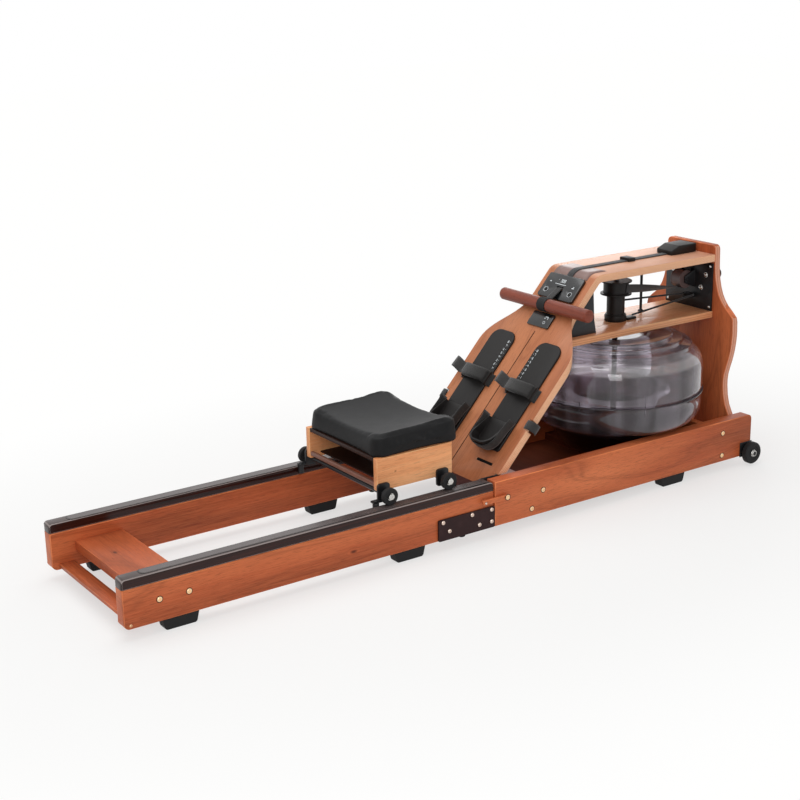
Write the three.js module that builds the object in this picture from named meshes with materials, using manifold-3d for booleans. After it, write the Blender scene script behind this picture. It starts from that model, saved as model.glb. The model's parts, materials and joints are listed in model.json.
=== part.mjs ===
// Water rowing machine: a wooden frame with folding rear rails, a wheeled seat, a sloping
// foot board, a pull handle on a strap, and a paddle that turns in a clear water tank.
// Units are millimetres, +Z is up, +X runs from the rear end of the rails to the tank end,
// and the origin is on the floor under the middle of the machine. Right is the -Y side.

import * as THREE from 'three';
import { mergeVertices } from 'three/addons/utils/BufferGeometryUtils.js';
import Module from 'manifold-3d';

// Whole frame
const frameWidth = 476;
const footHeight = 30;
const boardHeight = 128;
const fit = 0.3;
const overrun = 5;

// Rear rails
const railLength = 1096;
const railThickness = 39;
const railEndRound = 16;
const capHeight = 26;
const capRearRound = 10;
const capEdge = 2.5;
const trackWidth = 27;
const trackHeight = 1.2;
const trackInset = 57;
const trackSetback = 3;
const edgeRound = 2;
const crossBoardRear = 66;
const crossBoardLength = 134;
const crossBoardTop = 100;
const crossBoardThickness = 26;
const stretcherRear = 18;
const stretcherLength = 42;
const stretcherThickness = 10;
const stretcherRise = 8;

// Fold hinge between the rear rails and the front frame
const jointGap = 1;
const hingeRound = 12;
const hingePinRadius = 5;
const hingePinClearance = 0.4;
const hingePinDepth = 16;
const earThickness = 5.5;
const earReach = 52;
const earHeight = 36;
const splicePlateLength = 190;
const splicePlateHeight = 61;
const splicePlateThickness = 5;
const screwHeadRadius = 5.5;
const screwHeadHeight = 2.6;
const foldPadRadius = 10;
const foldPadHeight = 12;
const foldPadRear = 96;
const crossPlateLength = 58;
const crossPlateThickness = 4;
const crossPlateBelowTop = 8;
const crossPlateSetback = 28;

// Latch levers across the joint
const latchLength = 88;
const latchHeight = 13;
const latchThickness = 9;
const latchBelowTop = 47;
const latchPivotAhead = 34;
const latchPinRadius = 3.5;
const latchPinClearance = 0.4;
const latchPinHead = 2;

// Front frame boards
const frontBeyondTank = 471;
const frontThickness = 39;
const frontOutset = 6;
const frontNoseRound = 14;
const frontToeRound = 6;
const footBraceAhead = 149;
const footBraceMiddle = 45;
const footBraceSlope = 50;
const footBraceLength = 92;
const braceThickness = 24;
const endBraceBehindNose = 125;
const endBraceHeight = 100;
const sillLength = 162;
const sillThickness = 22;
const sillSetback = 4;
const bearerWidth = 46;
const bearerSpacing = 150;
const bearerHeight = 28;
const trayThickness = 6;
const trayGap = 8;

// Feet
const footLength = 82;
const footWidth = 30;
const footInset = 5;
const footFlare = 9;
const footCorner = 8;
const rearFootMiddle = 149;
const middleFootMiddle = 820;
const frontFootMiddle = 1774;

// Foot board and top board, one bent lamination
const slopeDegrees = 47.5;
const slopeAhead = 43;
const footBoardThickness = 22;
const footBoardLowEdge = 121;
const topBoardHeight = 640;
const bendRadius = 42;
const footBoardHalfWidth = 201;
const topBoardHalfWidth = 102;
const shoulderStart = 350;
const shoulderLength = 200;
const seamWidth = 2.4;
const seamDepth = 1.5;
const grooveLength = 70;
const grooveWidth = 8;
const grooveDepth = 2.5;
const grooveUp = 20;
const grooveOut = 122;
const strapSlotLength = 28;
const strapSlotAhead = 12;
const notchUp = 164;
const notchLength = 34;
const notchDepth = 14;

// Shelf and upright
const shelfHeight = 463;
const shelfThickness = 20;
const shelfHalfWidth = 103;
const uprightBehindNose = 42;
const uprightThickness = 22;
const uprightAboveShelf = 205;
const uprightTopHalfWidth = 102;
const uprightBellyHalfWidth = 187;
const uprightWaistHalfWidth = 157;
const uprightTopRound = 14;
const uprightFoot = 40;

// Tank
const tankBehindUpright = 44;
const tankWaistClearance = 6;
const tankRadius = 266;
const tankWall = 4;
const tankBottom = 73;
const tankBottomRadius = 122;
const tankSeam = 262;
const tankShoulder = 378;
const tankTop = 430;
const neckRadius = 172;
const neckStep = 5;
const sealWidth = 3;
const sealHeight = 6;
const waterGap = 0.5;
const waterDrop = 16;
const paddleRadius = 122;
const paddleHeight = 80;
const paddleThickness = 5;
const paddleBottomGap = 43;
const paddleHubRadius = 17;
const paddleSweep = 6;
const collarRadius = 17;
const collarHeight = 18;
const collarBelowTop = 26;

// Drive on the shelf
const shaftRadius = 8;
const shaftClearance = 0.5;
const bearingRadius = 33;
const bearingHeight = 17;
const bearingTail = 62;
const bearingTailWidth = 26;
const bearingTailHeight = 7;
const bungeeDrumRadius = 27;
const bungeeDrumFlange = 31;
const bungeeDrumHeight = 64;
const drumFlangeHeight = 4;
const spoolRadius = 38;
const spoolFlange = 47;
const spoolHeight = 42;
const shaftAboveSpool = 7;
const gussetThickness = 4;
const gussetSpacing = 150;
const gussetLength = 150;
const gussetHeight = 140;
const gussetCurve = 40;
const gussetBase = 36;
const drivePlateThickness = 4;
const drivePlateHalfWidth = 98;
const drivePlateHeight = 148;
const rollerEarThickness = 5;
const rollerRadius = 28;
const rollerWidth = 40;
const rollerBehindPlate = 33;
const rollerUp = 92;
const rollerAxleRadius = 5;
const rollerAxleClearance = 0.4;
const rollerSideGap = 1;
const bungeePulleyRadius = 17;
const bungeePulleyWidth = 10;
const bungeePulleyUp = 42;
const bungeePulleySide = 20;
const bungeePulleyBehindPlate = 24;
const bungeeEarThickness = 4;
const bungeeRadius = 3;
const bungeeGap = 0.4;
const bungeeDrumUp = 34;

// Strap and the parts it runs through
const strapWidth = 25;
const strapThickness = 2;
const strapLift = 1.2;
const fairleadAhead = 197;
const fairleadLength = 26;
const fairleadWidth = 40;
const fairleadHeight = 11;
const housingBehindPlate = 22;
const housingLength = 104;
const housingWidth = 66;
const housingHeight = 27;
const housingWall = 4;
const housingTaper = 16;
const strapTurnRadius = 10;

// Console
const consoleUp = 545;
const consoleLength = 82;
const consoleWidth = 152;
const consoleThickness = 9;
const consoleCorner = 8;
const exitSlotUp = 36;
const exitSlotLength = 12;
const lowerPanelUp = 450;
const lowerPanelLength = 47;
const lowerPanelWidth = 92;
const lowerPanelThickness = 6;
const channelSide = 2;
const channelHeight = 4.6;
const buttonRadius = 5.5;
const buttonHeight = 2.2;
const buttonSink = 2;
const buttonTravel = 1;
const buttonClearance = 0.4;
const buttonSpacing = 104;
const buttonUp = 24;

// Handle
const handleUp = 515;
const handleLift = 22;
const handleLength = 384;
const handleRadius = 18.5;
const handleEndRound = 4;
const wrapLength = 34;
const wrapThickness = 2.5;

// Foot plates, heel cups and toe straps
const footPlateUp = 58;
const footPlateLength = 352;
const footPlateWidth = 104;
const footPlateSpacing = 206;
const footPlateThickness = 7;
const footPlateTopRound = 32;
const footPlateLowRound = 10;
const heelUp = 52;
const heelLength = 92;
const heelWidth = 96;
const heelBase = 6;
const heelWall = 6;
const heelWallHeight = 40;
const heelGrip = 0.4;
const toeStrapUp = 228;
const toeStrapWidth = 40;
const toeStrapThickness = 3;
const toeStrapRise = 30;

// Transport wheels and bumpers
const transportRadius = 34;
const transportWidth = 20;
const transportBore = 6;
const transportClearance = 0.5;
const transportBehindNose = 9;
const transportFloorGap = 5;
const transportWheelRound = 3;
const transportSideGap = 3.2;
const transportPlateLength = 50;
const transportPlateHeight = 46;
const transportPlateThickness = 2.2;
const transportAxleHead = 11;
const bumperRadius = 17;
const bumperHeight = 24;
const bumperUp = 109;
const bumperSpacing = 140;
const bumperBoltRadius = 7;

// Seat
const seatBehindJoint = 339;
const sideLength = 243;
const sideThickness = 18;
const sideOuterWidth = 356;
const sideBottom = 188;
const cushionBottom = 277;
const cushionLength = 278;
const cushionWidth = 352;
const cushionEdgeHeight = 56;
const cushionScoop = 13;
const cushionRim = 7;
const cushionRearDrop = 6;
const cushionCorner = 46;
const cushionDrawIn = 6;
const cushionEdgeRound = 20;
const seatPanelThickness = 10;
const chassisThickness = 4;
const chassisUp = 12;
const chassisInset = 34;
const seatWheelRadius = 23;
const seatWheelWidth = 14;
const seatWheelRearInset = 16;
const seatWheelFrontInset = 36;
const seatWheelBore = 4;
const seatWheelClearance = 0.4;
const seatWheelRim = 3;
const seatWheelInset = 1.5;
const bracketThickness = 6;
const bracketHalfLength = 19;
const bracketRise = 28;
const bracketDrop = 20;
const bracketCorner = 8;
const axleBossRadius = 9;
const axleHeadRadius = 8;
const axleHeadHeight = 3;
const axleRodRadius = 6;
const guideArmThickness = 5;
const guideArmLift = 5;
const guideRollerAhead = 30;
const guideRollerRadius = 9;
const guideRollerHeight = 24;
const guideRollerGap = 0.5;

// Positions that follow from the sizes above
const halfFrame = frameWidth / 2;
const boardTop = footHeight + boardHeight;
const trackTop = boardTop + trackHeight;
const capBottom = boardTop - capHeight;
const railInner = halfFrame - railThickness;
const trackInner = railInner + trackSetback;
const frontStart = railLength + jointGap;
const frontLength = frontBeyondTank + 2 * tankRadius;
const frontEnd = frontStart + frontLength;
const frontOuter = halfFrame + frontOutset;
const frontInner = frontOuter - frontThickness;
const hingeX = railLength - hingeRound;
const hingeZ = boardTop - hingeRound;
const latchZ = boardTop - latchBelowTop;
const latchPivotX = frontStart + latchPivotAhead;
const slope = THREE.MathUtils.degToRad(slopeDegrees);
const slopeStart = frontStart + slopeAhead;
const bendUp = (topBoardHeight - boardTop) / Math.sin(slope);
const uprightBack = frontEnd - uprightBehindNose + uprightThickness;
const uprightFront = uprightBack - uprightThickness;
const uprightHeight = shelfHeight + uprightAboveShelf;
const shelfBottom = shelfHeight - shelfThickness;
const tankX = uprightFront - tankBehindUpright - tankRadius;
const bungeeDrumBottom = shelfHeight + bearingHeight + 2 * fit;
const spoolBottom = bungeeDrumBottom + bungeeDrumHeight;
const spoolMiddle = spoolBottom + spoolHeight / 2;
const shaftTop = spoolBottom + spoolHeight + shaftAboveSpool;
const platePlane = uprightFront - fit - drivePlateThickness;
const rollerX = platePlane - rollerBehindPlate;
const rollerZ = shelfHeight + rollerUp;
const machineLength = frontEnd - transportBehindNose + transportRadius;
const seatRear = railLength - seatBehindJoint;

// Solid helpers
const wasm = await Module();
wasm.setup();

function toSolid(geometry) {
  const bare = geometry.clone();
  bare.deleteAttribute('normal');
  bare.deleteAttribute('uv');
  const merged = mergeVertices(bare);
  return new wasm.Manifold(new wasm.Mesh({
    numProp: 3,
    vertProperties: merged.attributes.position.array,
    triVerts: new Uint32Array(merged.index.array),
  }));
}

function fromSolid(solid) {
  const mesh = solid.getMesh();
  const geometry = new THREE.BufferGeometry();
  geometry.setAttribute('position', new THREE.BufferAttribute(mesh.vertProperties, 3));
  geometry.setIndex(new THREE.BufferAttribute(mesh.triVerts, 1));
  geometry.computeVertexNormals();
  return geometry;
}

function join(first, ...others) {
  return fromSolid(others.reduce((solid, other) => solid.add(toSolid(other)), toSolid(first)));
}

function cut(first, ...tools) {
  return fromSolid(tools.reduce((solid, tool) => solid.subtract(toSolid(tool)), toSolid(first)));
}

function common(first, second) {
  return fromSolid(toSolid(first).intersect(toSolid(second)));
}

// Box between its low and high limits
function block([x0, x1], [y0, y1], [z0, z1]) {
  const box = new THREE.BoxGeometry(x1 - x0, y1 - y0, z1 - z0);
  return box.translate((x0 + x1) / 2, (y0 + y1) / 2, (z0 + z1) / 2);
}

// Limits on one side of the machine, ordered whichever side it is
function across(side, inner, outer) {
  return side < 0 ? [-outer, -inner] : [inner, outer];
}

// Outline through corners [x, y, radius], each radius as an arc
function outline(corners, steps = 6) {
  const points = [];
  corners.forEach(([x, y, radius = 0], index) => {
    const corner = new THREE.Vector2(x, y);
    const [beforeX, beforeY] = corners.at(index - 1);
    const [afterX, afterY] = corners[(index + 1) % corners.length];
    const toBefore = new THREE.Vector2(beforeX, beforeY).sub(corner).normalize();
    const toAfter = new THREE.Vector2(afterX, afterY).sub(corner).normalize();
    const half = Math.acos(THREE.MathUtils.clamp(toBefore.dot(toAfter), -1, 1)) / 2;
    if (radius === 0 || half > Math.PI * 0.499) {
      points.push(corner);
      return;
    }
    const middle = toBefore.clone().add(toAfter).normalize();
    const centre = corner.clone().addScaledVector(middle, radius / Math.sin(half));
    const start = corner.clone().addScaledVector(toBefore, radius / Math.tan(half)).sub(centre);
    const end = corner.clone().addScaledVector(toAfter, radius / Math.tan(half)).sub(centre);
    const sweep = Math.atan2(start.cross(end), start.dot(end));
    for (let step = 0; step <= steps; step += 1) {
      const spoke = start.clone().rotateAround(new THREE.Vector2(), (sweep * step) / steps);
      points.push(spoke.add(centre));
    }
  });
  return new THREE.Shape(points);
}

function extrude(shape, length, bevel) {
  return new THREE.ExtrudeGeometry(shape, {
    depth: length - 2 * bevel,
    bevelEnabled: bevel > 0,
    bevelThickness: bevel,
    bevelSize: bevel,
    bevelOffset: -bevel,
    bevelSegments: 1,
    curveSegments: 10,
  }).translate(0, 0, bevel);
}

// Plates cut from an outline seen from above, from the side and from the end
function plateZ(shape, [z0, z1], bevel = 0) {
  return extrude(shape, z1 - z0, bevel).translate(0, 0, z0);
}

function plateY(shape, [y0, y1], bevel = 0) {
  return extrude(shape, y1 - y0, bevel).rotateX(Math.PI / 2).translate(0, y1, 0);
}

function plateX(shape, [x0, x1], bevel = 0) {
  const turn = new THREE.Matrix4().makeBasis(
    new THREE.Vector3(0, 1, 0),
    new THREE.Vector3(0, 0, 1),
    new THREE.Vector3(1, 0, 0),
  );
  return extrude(shape, x1 - x0, bevel).applyMatrix4(turn).translate(x0, 0, 0);
}

// Turned piece about Z from [radius, height] points
function turned(points, segments = 32) {
  const profile = points.map(([radius, height]) => new THREE.Vector2(radius, height));
  return new THREE.LatheGeometry(profile, segments).rotateX(Math.PI / 2);
}

function disc(radius, [z0, z1], segments = 24) {
  return turned([[0, z0], [radius, z0], [radius, z1], [0, z1]], segments);
}

function ring(inner, outer, [z0, z1], segments = 24) {
  return turned([[inner, z0], [outer, z0], [outer, z1], [inner, z1], [inner, z0]], segments);
}

// The same about Y, between two limits, centred on (x, z)
function discY(radius, [y0, y1], x, z, segments = 20) {
  return disc(radius, [0, y1 - y0], segments).rotateX(-Math.PI / 2).translate(x, y0, z);
}

function discX(radius, [x0, x1], y, z, segments = 20) {
  return disc(radius, [0, x1 - x0], segments).rotateY(Math.PI / 2).translate(x0, y, z);
}

// Low domed screw or bolt head about Z, standing on z = 0
function head(radius, height, segments = 9) {
  return turned([[0, 0], [radius, 0], [radius, height / 2], [radius / 2, height], [0, height]], segments);
}

function headOnSide(side, radius, height, x, z, face) {
  return head(radius, height).rotateX((-side * Math.PI) / 2).translate(x, side * face, z);
}

// Materials
function finish(color, roughness, metalness = 0, opacity = 1) {
  return new THREE.MeshStandardMaterial({
    color, roughness, metalness, opacity, transparent: opacity < 1,
  });
}

const wood = finish(0xa85a38, 0.45);
const paleWood = finish(0xc58a58, 0.45);
const handleWood = finish(0x7d3c2d, 0.5);
const capPlastic = finish(0x1d1512, 0.2);
const blackPlastic = finish(0x1a1a1b, 0.55);
const blackSteel = finish(0x17181a, 0.5, 0.6);
const plateSteel = finish(0x35191b, 0.45, 0.6);
const rubber = finish(0x161616, 0.85);
const leather = finish(0x3c3d40, 0.6);
const webbing = finish(0x1b1b1c, 0.9);
const brass = finish(0xd9a877, 0.3, 0.9);
const clear = finish(0xdfe3e8, 0.05, 0, 0.25);
const waterTint = finish(0x6b6472, 0.05, 0, 0.5);
const panelGloss = finish(0x101113, 0.25);
const brownPlastic = finish(0x5a4340, 0.4);

const machine = new THREE.Group();
machine.position.x = -machineLength / 2;

function place(parent, name, geometry, material, [x, y, z] = [0, 0, 0]) {
  const mesh = new THREE.Mesh(geometry, material);
  mesh.name = name;
  mesh.position.set(x, y, z);
  parent.add(mesh);
  return mesh;
}

const sides = [[-1, 'right'], [1, 'left']];

// Wedge foot that widens upwards into its board, centred on x
function foot(side, middle, outer) {
  const half = footLength / 2;
  const shape = outline([
    [middle - half, 0, footCorner],
    [middle + half, 0, footCorner],
    [middle + half + footFlare, footHeight + footInset],
    [middle - half - footFlare, footHeight + footInset],
  ], 3);
  return plateY(shape, across(side, outer - footInset - footWidth, outer - footInset));
}

// Rear rails with their feet, caps and the boards between them
function rail(side) {
  const shape = outline([
    [0, footHeight, railEndRound],
    [railLength, footHeight],
    [railLength, capBottom - fit],
    [0, capBottom - fit],
  ]);
  const pad = disc(foldPadRadius, [footHeight - foldPadHeight, footHeight + footInset], 16)
    .translate(railLength - foldPadRear, side * (halfFrame - railThickness / 2), 0);
  return join(
    plateY(shape, across(side, railInner, halfFrame), edgeRound),
    foot(side, rearFootMiddle, halfFrame),
    foot(side, middleFootMiddle, halfFrame),
    pad,
  );
}

function railCap(side) {
  const shape = outline([
    [0, capBottom],
    [railLength, capBottom],
    [railLength, boardTop, hingeRound],
    [0, boardTop, capRearRound],
  ]);
  const track = plateZ(outline([
    [trackInset, side * trackInner, trackWidth / 2],
    [hingeX - hingeRound, side * trackInner],
    [hingeX - hingeRound, side * (trackInner + trackWidth)],
    [trackInset, side * (trackInner + trackWidth), trackWidth / 2],
  ].slice()[side < 0 ? 'reverse' : 'slice']()), [boardTop - overrun, trackTop]);
  const bore = discY(
    hingePinRadius + hingePinClearance,
    across(side, railInner - overrun, railInner + hingePinDepth),
    hingeX,
    hingeZ,
  );
  const body = join(plateY(shape, across(side, railInner, halfFrame), capEdge), track);
  return cut(body, bore);
}

function rearCrossBoard() {
  return block(
    [crossBoardRear, crossBoardRear + crossBoardLength],
    [-railInner + fit, railInner - fit],
    [crossBoardTop - crossBoardThickness, crossBoardTop],
  );
}

function rearStretcher() {
  const bottom = footHeight + stretcherRise;
  return block(
    [stretcherRear, stretcherRear + stretcherLength],
    [-railInner + fit, railInner - fit],
    [bottom, bottom + stretcherThickness],
  );
}

// Outer plate at the joint with its screws
const screwShares = [
  [0.08, 0.86], [0.19, 0.4], [0.59, 0.86], [0.72, 0.3], [0.94, 0.86], [0.94, 0.3],
];

function splicePlate(side) {
  const plate = block(
    [railLength - splicePlateLength, railLength],
    across(side, halfFrame + fit, halfFrame + fit + splicePlateThickness),
    [footHeight, footHeight + splicePlateHeight],
  );
  const screws = screwShares.map(([along, up]) => headOnSide(
    side,
    screwHeadRadius,
    screwHeadHeight + fit,
    railLength - splicePlateLength * (1 - along),
    footHeight + splicePlateHeight * up,
    halfFrame + splicePlateThickness,
  ));
  return join(plate, ...screws);
}

// Flat steel plate that ties the rails together behind the joint
function jointPlate() {
  const top = boardTop - crossPlateBelowTop;
  return block(
    [railLength - crossPlateSetback - crossPlateLength, railLength - crossPlateSetback],
    [-railInner + fit, railInner - fit],
    [top - crossPlateThickness, top],
  );
}

// Front boards and the boards between them
function frontBoard(side) {
  const shape = outline([
    [frontStart, footHeight],
    [frontEnd, footHeight, frontToeRound],
    [frontEnd, boardTop, frontNoseRound],
    [frontStart, boardTop],
  ]);
  return join(
    plateY(shape, across(side, frontInner, frontOuter), edgeRound),
    foot(side, frontFootMiddle, frontOuter),
    latchPeg(side),
  );
}

// Peg with a head that a latch lever turns on
function latchPeg(side) {
  const outer = frontOuter + latchThickness + 3 * fit;
  const peg = discY(
    latchPinRadius, across(side, frontOuter - latchPinHead, outer + latchPinHead), latchPivotX, latchZ,
  );
  const cap = discY(latchPinRadius * 2, across(side, outer, outer + latchPinHead), latchPivotX, latchZ);
  return join(peg, cap);
}

const braceX = frontStart + footBraceAhead;
const braceZ = footHeight + footBraceMiddle;
const braceSlope = THREE.MathUtils.degToRad(footBraceSlope);
const endBraceX = frontEnd - endBraceBehindNose;

// Sill that the foot board stands on, with the tilted board that props it from behind
function footBrace() {
  const span = [-frontInner + fit, frontInner - fit];
  const halfLength = footBraceLength / 2;
  const halfThickness = braceThickness / 2;
  const tilted = block([-halfLength, halfLength], span, [-halfThickness, halfThickness])
    .rotateY(-braceSlope)
    .translate(braceX, 0, braceZ);
  const sillRear = frontStart + sillSetback;
  const sill = block(
    [sillRear, sillRear + sillLength],
    span,
    [footBoardLowEdge - fit - sillThickness, footBoardLowEdge - fit],
  );
  return join(tilted, sill);
}

function endBrace() {
  return block(
    [endBraceX - braceThickness / 2, endBraceX + braceThickness / 2],
    [-frontInner + fit, frontInner - fit],
    [footHeight + edgeRound, footHeight + edgeRound + endBraceHeight],
  );
}

// Two boards across the frame under the tank, let into a thin tray between the front boards
function tankCradle() {
  const top = tankBottom - fit;
  const bearers = [-1, 1].map((end) => {
    const middle = tankX + (end * bearerSpacing) / 2;
    return block(
      [middle - bearerWidth / 2, middle + bearerWidth / 2],
      [-frontInner + fit, frontInner - fit],
      [top - bearerHeight, top],
    );
  });
  const tray = block(
    [braceX + footBraceLength / 2 + trayGap, endBraceX - braceThickness / 2 - trayGap],
    [-frontInner + fit, frontInner - fit],
    [top - bearerHeight, top - bearerHeight + trayThickness],
  );
  return join(...bearers, tray);
}

// Hinge ear on the inner face of a front board, with the pin that the rail's cap turns on
function hingeEar(side) {
  const earRound = hingeRound - fit;
  const shape = outline([
    [hingeX - earRound, hingeZ - earRound, earRound * 0.9],
    [frontStart + jointGap, boardTop - earHeight],
    [frontStart + earReach, boardTop - earHeight, frontToeRound],
    [frontStart + earReach, hingeZ + earRound, frontToeRound],
    [hingeX - earRound, hingeZ + earRound, earRound * 0.9],
  ]);
  const ear = plateY(shape, across(side, railInner - fit - earThickness, railInner - fit));
  const spacer = block(
    [frontStart + jointGap, frontStart + earReach - frontToeRound],
    across(side, railInner - fit - earThickness / 2, frontInner - fit),
    [boardTop - earHeight + frontToeRound, hingeZ],
  );
  const pin = discY(
    hingePinRadius,
    across(side, railInner - fit - earThickness - hingePinRadius / 2, railInner + hingePinDepth - fit),
    hingeX,
    hingeZ,
  );
  return join(ear, spacer, pin);
}

// Wooden lever that turns on a peg in the front board and lies over the joint
function latchLever() {
  const half = latchHeight / 2;
  const shape = outline([
    [-latchLength + half, -half, half * 0.7],
    [half, -half, half * 0.9],
    [half, half, half * 0.9],
    [-latchLength + half, half, half * 0.7],
  ], 4);
  const bar = plateY(shape, [-latchThickness / 2, latchThickness / 2], edgeRound / 2);
  const bore = discY(latchPinRadius + latchPinClearance, [-latchThickness, latchThickness], 0, 0);
  return cut(bar, bore);
}

// Foot board: side outline of the lamination, cut to its plan
const lowX = slopeStart - (boardTop - footBoardLowEdge) / Math.tan(slope);
const slopeRunPerThickness = footBoardThickness / Math.sin(slope);
const bendX = slopeStart + (topBoardHeight - boardTop) / Math.tan(slope);
const topBoardEnd = uprightFront - fit;
const bendCut = footBoardThickness / Math.tan((Math.PI - slope) / 2);

function halfWidthAt(up) {
  const share = THREE.MathUtils.smootherstep(up, shoulderStart, shoulderStart + shoulderLength);
  return THREE.MathUtils.lerp(footBoardHalfWidth, topBoardHalfWidth, share);
}

function footBoard() {
  const side = outline([
    [lowX, footBoardLowEdge],
    [lowX + slopeRunPerThickness, footBoardLowEdge],
    [bendX + bendCut, topBoardHeight - footBoardThickness, bendRadius - footBoardThickness],
    [topBoardEnd, topBoardHeight - footBoardThickness],
    [topBoardEnd, topBoardHeight],
    [bendX, topBoardHeight, bendRadius],
  ], 8);
  const shoulderSteps = 14;
  const edge = [];
  for (let step = 0; step <= shoulderSteps; step += 1) {
    const up = shoulderStart + (shoulderLength * step) / shoulderSteps;
    edge.push([slopeStart + up * Math.cos(slope), halfWidthAt(up)]);
  }
  const plan = [
    [lowX - overrun, footBoardHalfWidth], ...edge, [topBoardEnd + overrun, topBoardHalfWidth],
  ];
  const mirrored = plan.map(([x, y]) => [x, -y]).reverse();
  const planShape = outline([...plan, ...mirrored]);
  const reach = footBoardHalfWidth + overrun;
  const board = common(
    plateY(side, [-reach, reach]),
    plateZ(planShape, [footBoardLowEdge - overrun, topBoardHeight + overrun]),
  );
  const tongue = railInner - 2 * fit - earThickness - hingePinRadius;
  const cheeks = [-1, 1].map((cheek) => block(
    [lowX - overrun, frontStart + earReach + footBoardThickness * 2],
    across(cheek, tongue, reach + overrun),
    [footBoardLowEdge - overrun, boardTop + fit],
  ));
  const onSlope = (geometry) => geometry.rotateY(-slope).translate(slopeStart, 0, boardTop);
  const seam = onSlope(block(
    [-footBoardThickness * 4, lowerPanelUp - footBoardThickness / 2],
    [-seamWidth / 2, seamWidth / 2],
    [-seamDepth, overrun],
  ));
  const grooves = [-1, 1].map((hand) => onSlope(block(
    [grooveUp - grooveWidth / 2, grooveUp + grooveWidth / 2],
    [hand * grooveOut - grooveLength / 2, hand * grooveOut + grooveLength / 2],
    [-grooveDepth, overrun],
  )));
  const notches = [-1, 1].map((hand) => onSlope(block(
    [notchUp - notchLength / 2, notchUp + notchLength / 2],
    across(hand, footBoardHalfWidth - notchDepth, reach + overrun),
    [-footBoardThickness - overrun, overrun],
  )));
  const strapSlot = block(
    [rollerX + strapSlotAhead - strapSlotLength / 2, rollerX + strapSlotAhead + strapSlotLength / 2],
    [-strapWidth / 2 - channelSide, strapWidth / 2 + channelSide],
    [topBoardHeight - footBoardThickness - overrun, topBoardHeight + overrun],
  );
  return cut(board, ...cheeks, seam, ...grooves, ...notches, strapSlot);
}

// Shelf behind the foot board, with its front edge on the slope
function shelf() {
  const slopeAt = (z) => slopeStart + (z - boardTop) / Math.tan(slope) + slopeRunPerThickness + 2 * fit;
  const shape = outline([
    [slopeAt(shelfBottom), shelfBottom],
    [uprightFront - fit, shelfBottom],
    [uprightFront - fit, shelfHeight],
    [slopeAt(shelfHeight), shelfHeight],
  ]);
  const body = plateY(shape, [-shelfHalfWidth, shelfHalfWidth], edgeRound);
  const bore = disc(shaftRadius + shaftClearance, [shelfBottom - overrun, shelfHeight + overrun])
    .translate(tankX, 0, 0);
  return cut(body, bore);
}

// Upright: vase outline seen from the end, heights as shares of the board's height
const uprightShares = [
  [0.22, 0.4], [0.31, 0.04], [0.37, 0.1], [0.44, 0.53], [0.5, 0.83], [0.57, 1],
  [0.62, 0.98], [0.66, 0.86],
];
const uprightNeckShares = [[0.71, 0.52], [0.76, 0.25], [0.83, 0.08], [0.9, 0.02]];

function upright() {
  const span = uprightHeight - uprightFoot;
  const belly = uprightBellyHalfWidth - uprightWaistHalfWidth;
  const neck = uprightBellyHalfWidth - uprightTopHalfWidth;
  const foot = frontInner - fit;
  const right = [
    [foot, uprightFoot],
    [foot, boardTop * 0.75],
    ...uprightShares.map(([up, out]) => [uprightWaistHalfWidth + belly * out, uprightFoot + span * up]),
    ...uprightNeckShares.map(([up, out]) => [uprightTopHalfWidth + neck * out, uprightFoot + span * up]),
    [uprightTopHalfWidth, uprightHeight],
  ];
  const curve = new THREE.CatmullRomCurve3(
    right.slice(1, -1).map(([y, z]) => new THREE.Vector3(0, y, z)), false, 'centripetal',
  ).getPoints(24);
  const rightEdge = [right[0], ...curve.map((point) => [point.y, point.z]), [...right.at(-1), uprightTopRound]];
  const leftEdge = rightEdge.map(([y, z, radius]) => [-y, z, radius]).reverse();
  const board = plateX(outline([...rightEdge, ...leftEdge]), [uprightFront, uprightBack], edgeRound);
  const bores = [-1, 1].map((hand) => discX(
    bumperBoltRadius + fit,
    [uprightFront - overrun, uprightBack + overrun],
    (hand * bumperSpacing) / 2,
    shelfHeight + bumperUp,
    16,
  ));
  return cut(board, ...bores);
}

// Folded steel bracket between the back of the foot board and the shelf: two gussets on a base
function gussetBracket() {
  const low = shelfHeight + fit;
  const high = low + gussetHeight;
  const slopeAt = (z) => slopeStart + (z - boardTop) / Math.tan(slope) + slopeRunPerThickness + 2 * fit;
  const shape = outline([
    [slopeAt(low), low],
    [slopeAt(low) + gussetLength, low],
    [slopeAt(low) + gussetLength - gussetThickness * 2, low + gussetCurve, gussetCurve],
    [slopeAt(high) + gussetThickness * 2, high],
    [slopeAt(high), high],
  ]);
  const outer = gussetSpacing / 2 + gussetThickness;
  const plates = sides.map(([side]) => plateY(shape, across(side, gussetSpacing / 2, outer)));
  const base = block(
    [slopeAt(low + gussetThickness), slopeAt(low) + gussetBase],
    [-outer + gussetThickness / 2, outer - gussetThickness / 2],
    [low, low + gussetThickness / 2],
  );
  return join(...plates, base);
}

// Steel plate on the upright with the ears and axle of the strap roller, and the ear and pin
// of the elastic cord's pulley
const pulleyCentre = [
  platePlane - bungeePulleyBehindPlate, -bungeePulleySide, shelfHeight + bungeePulleyUp,
];

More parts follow.
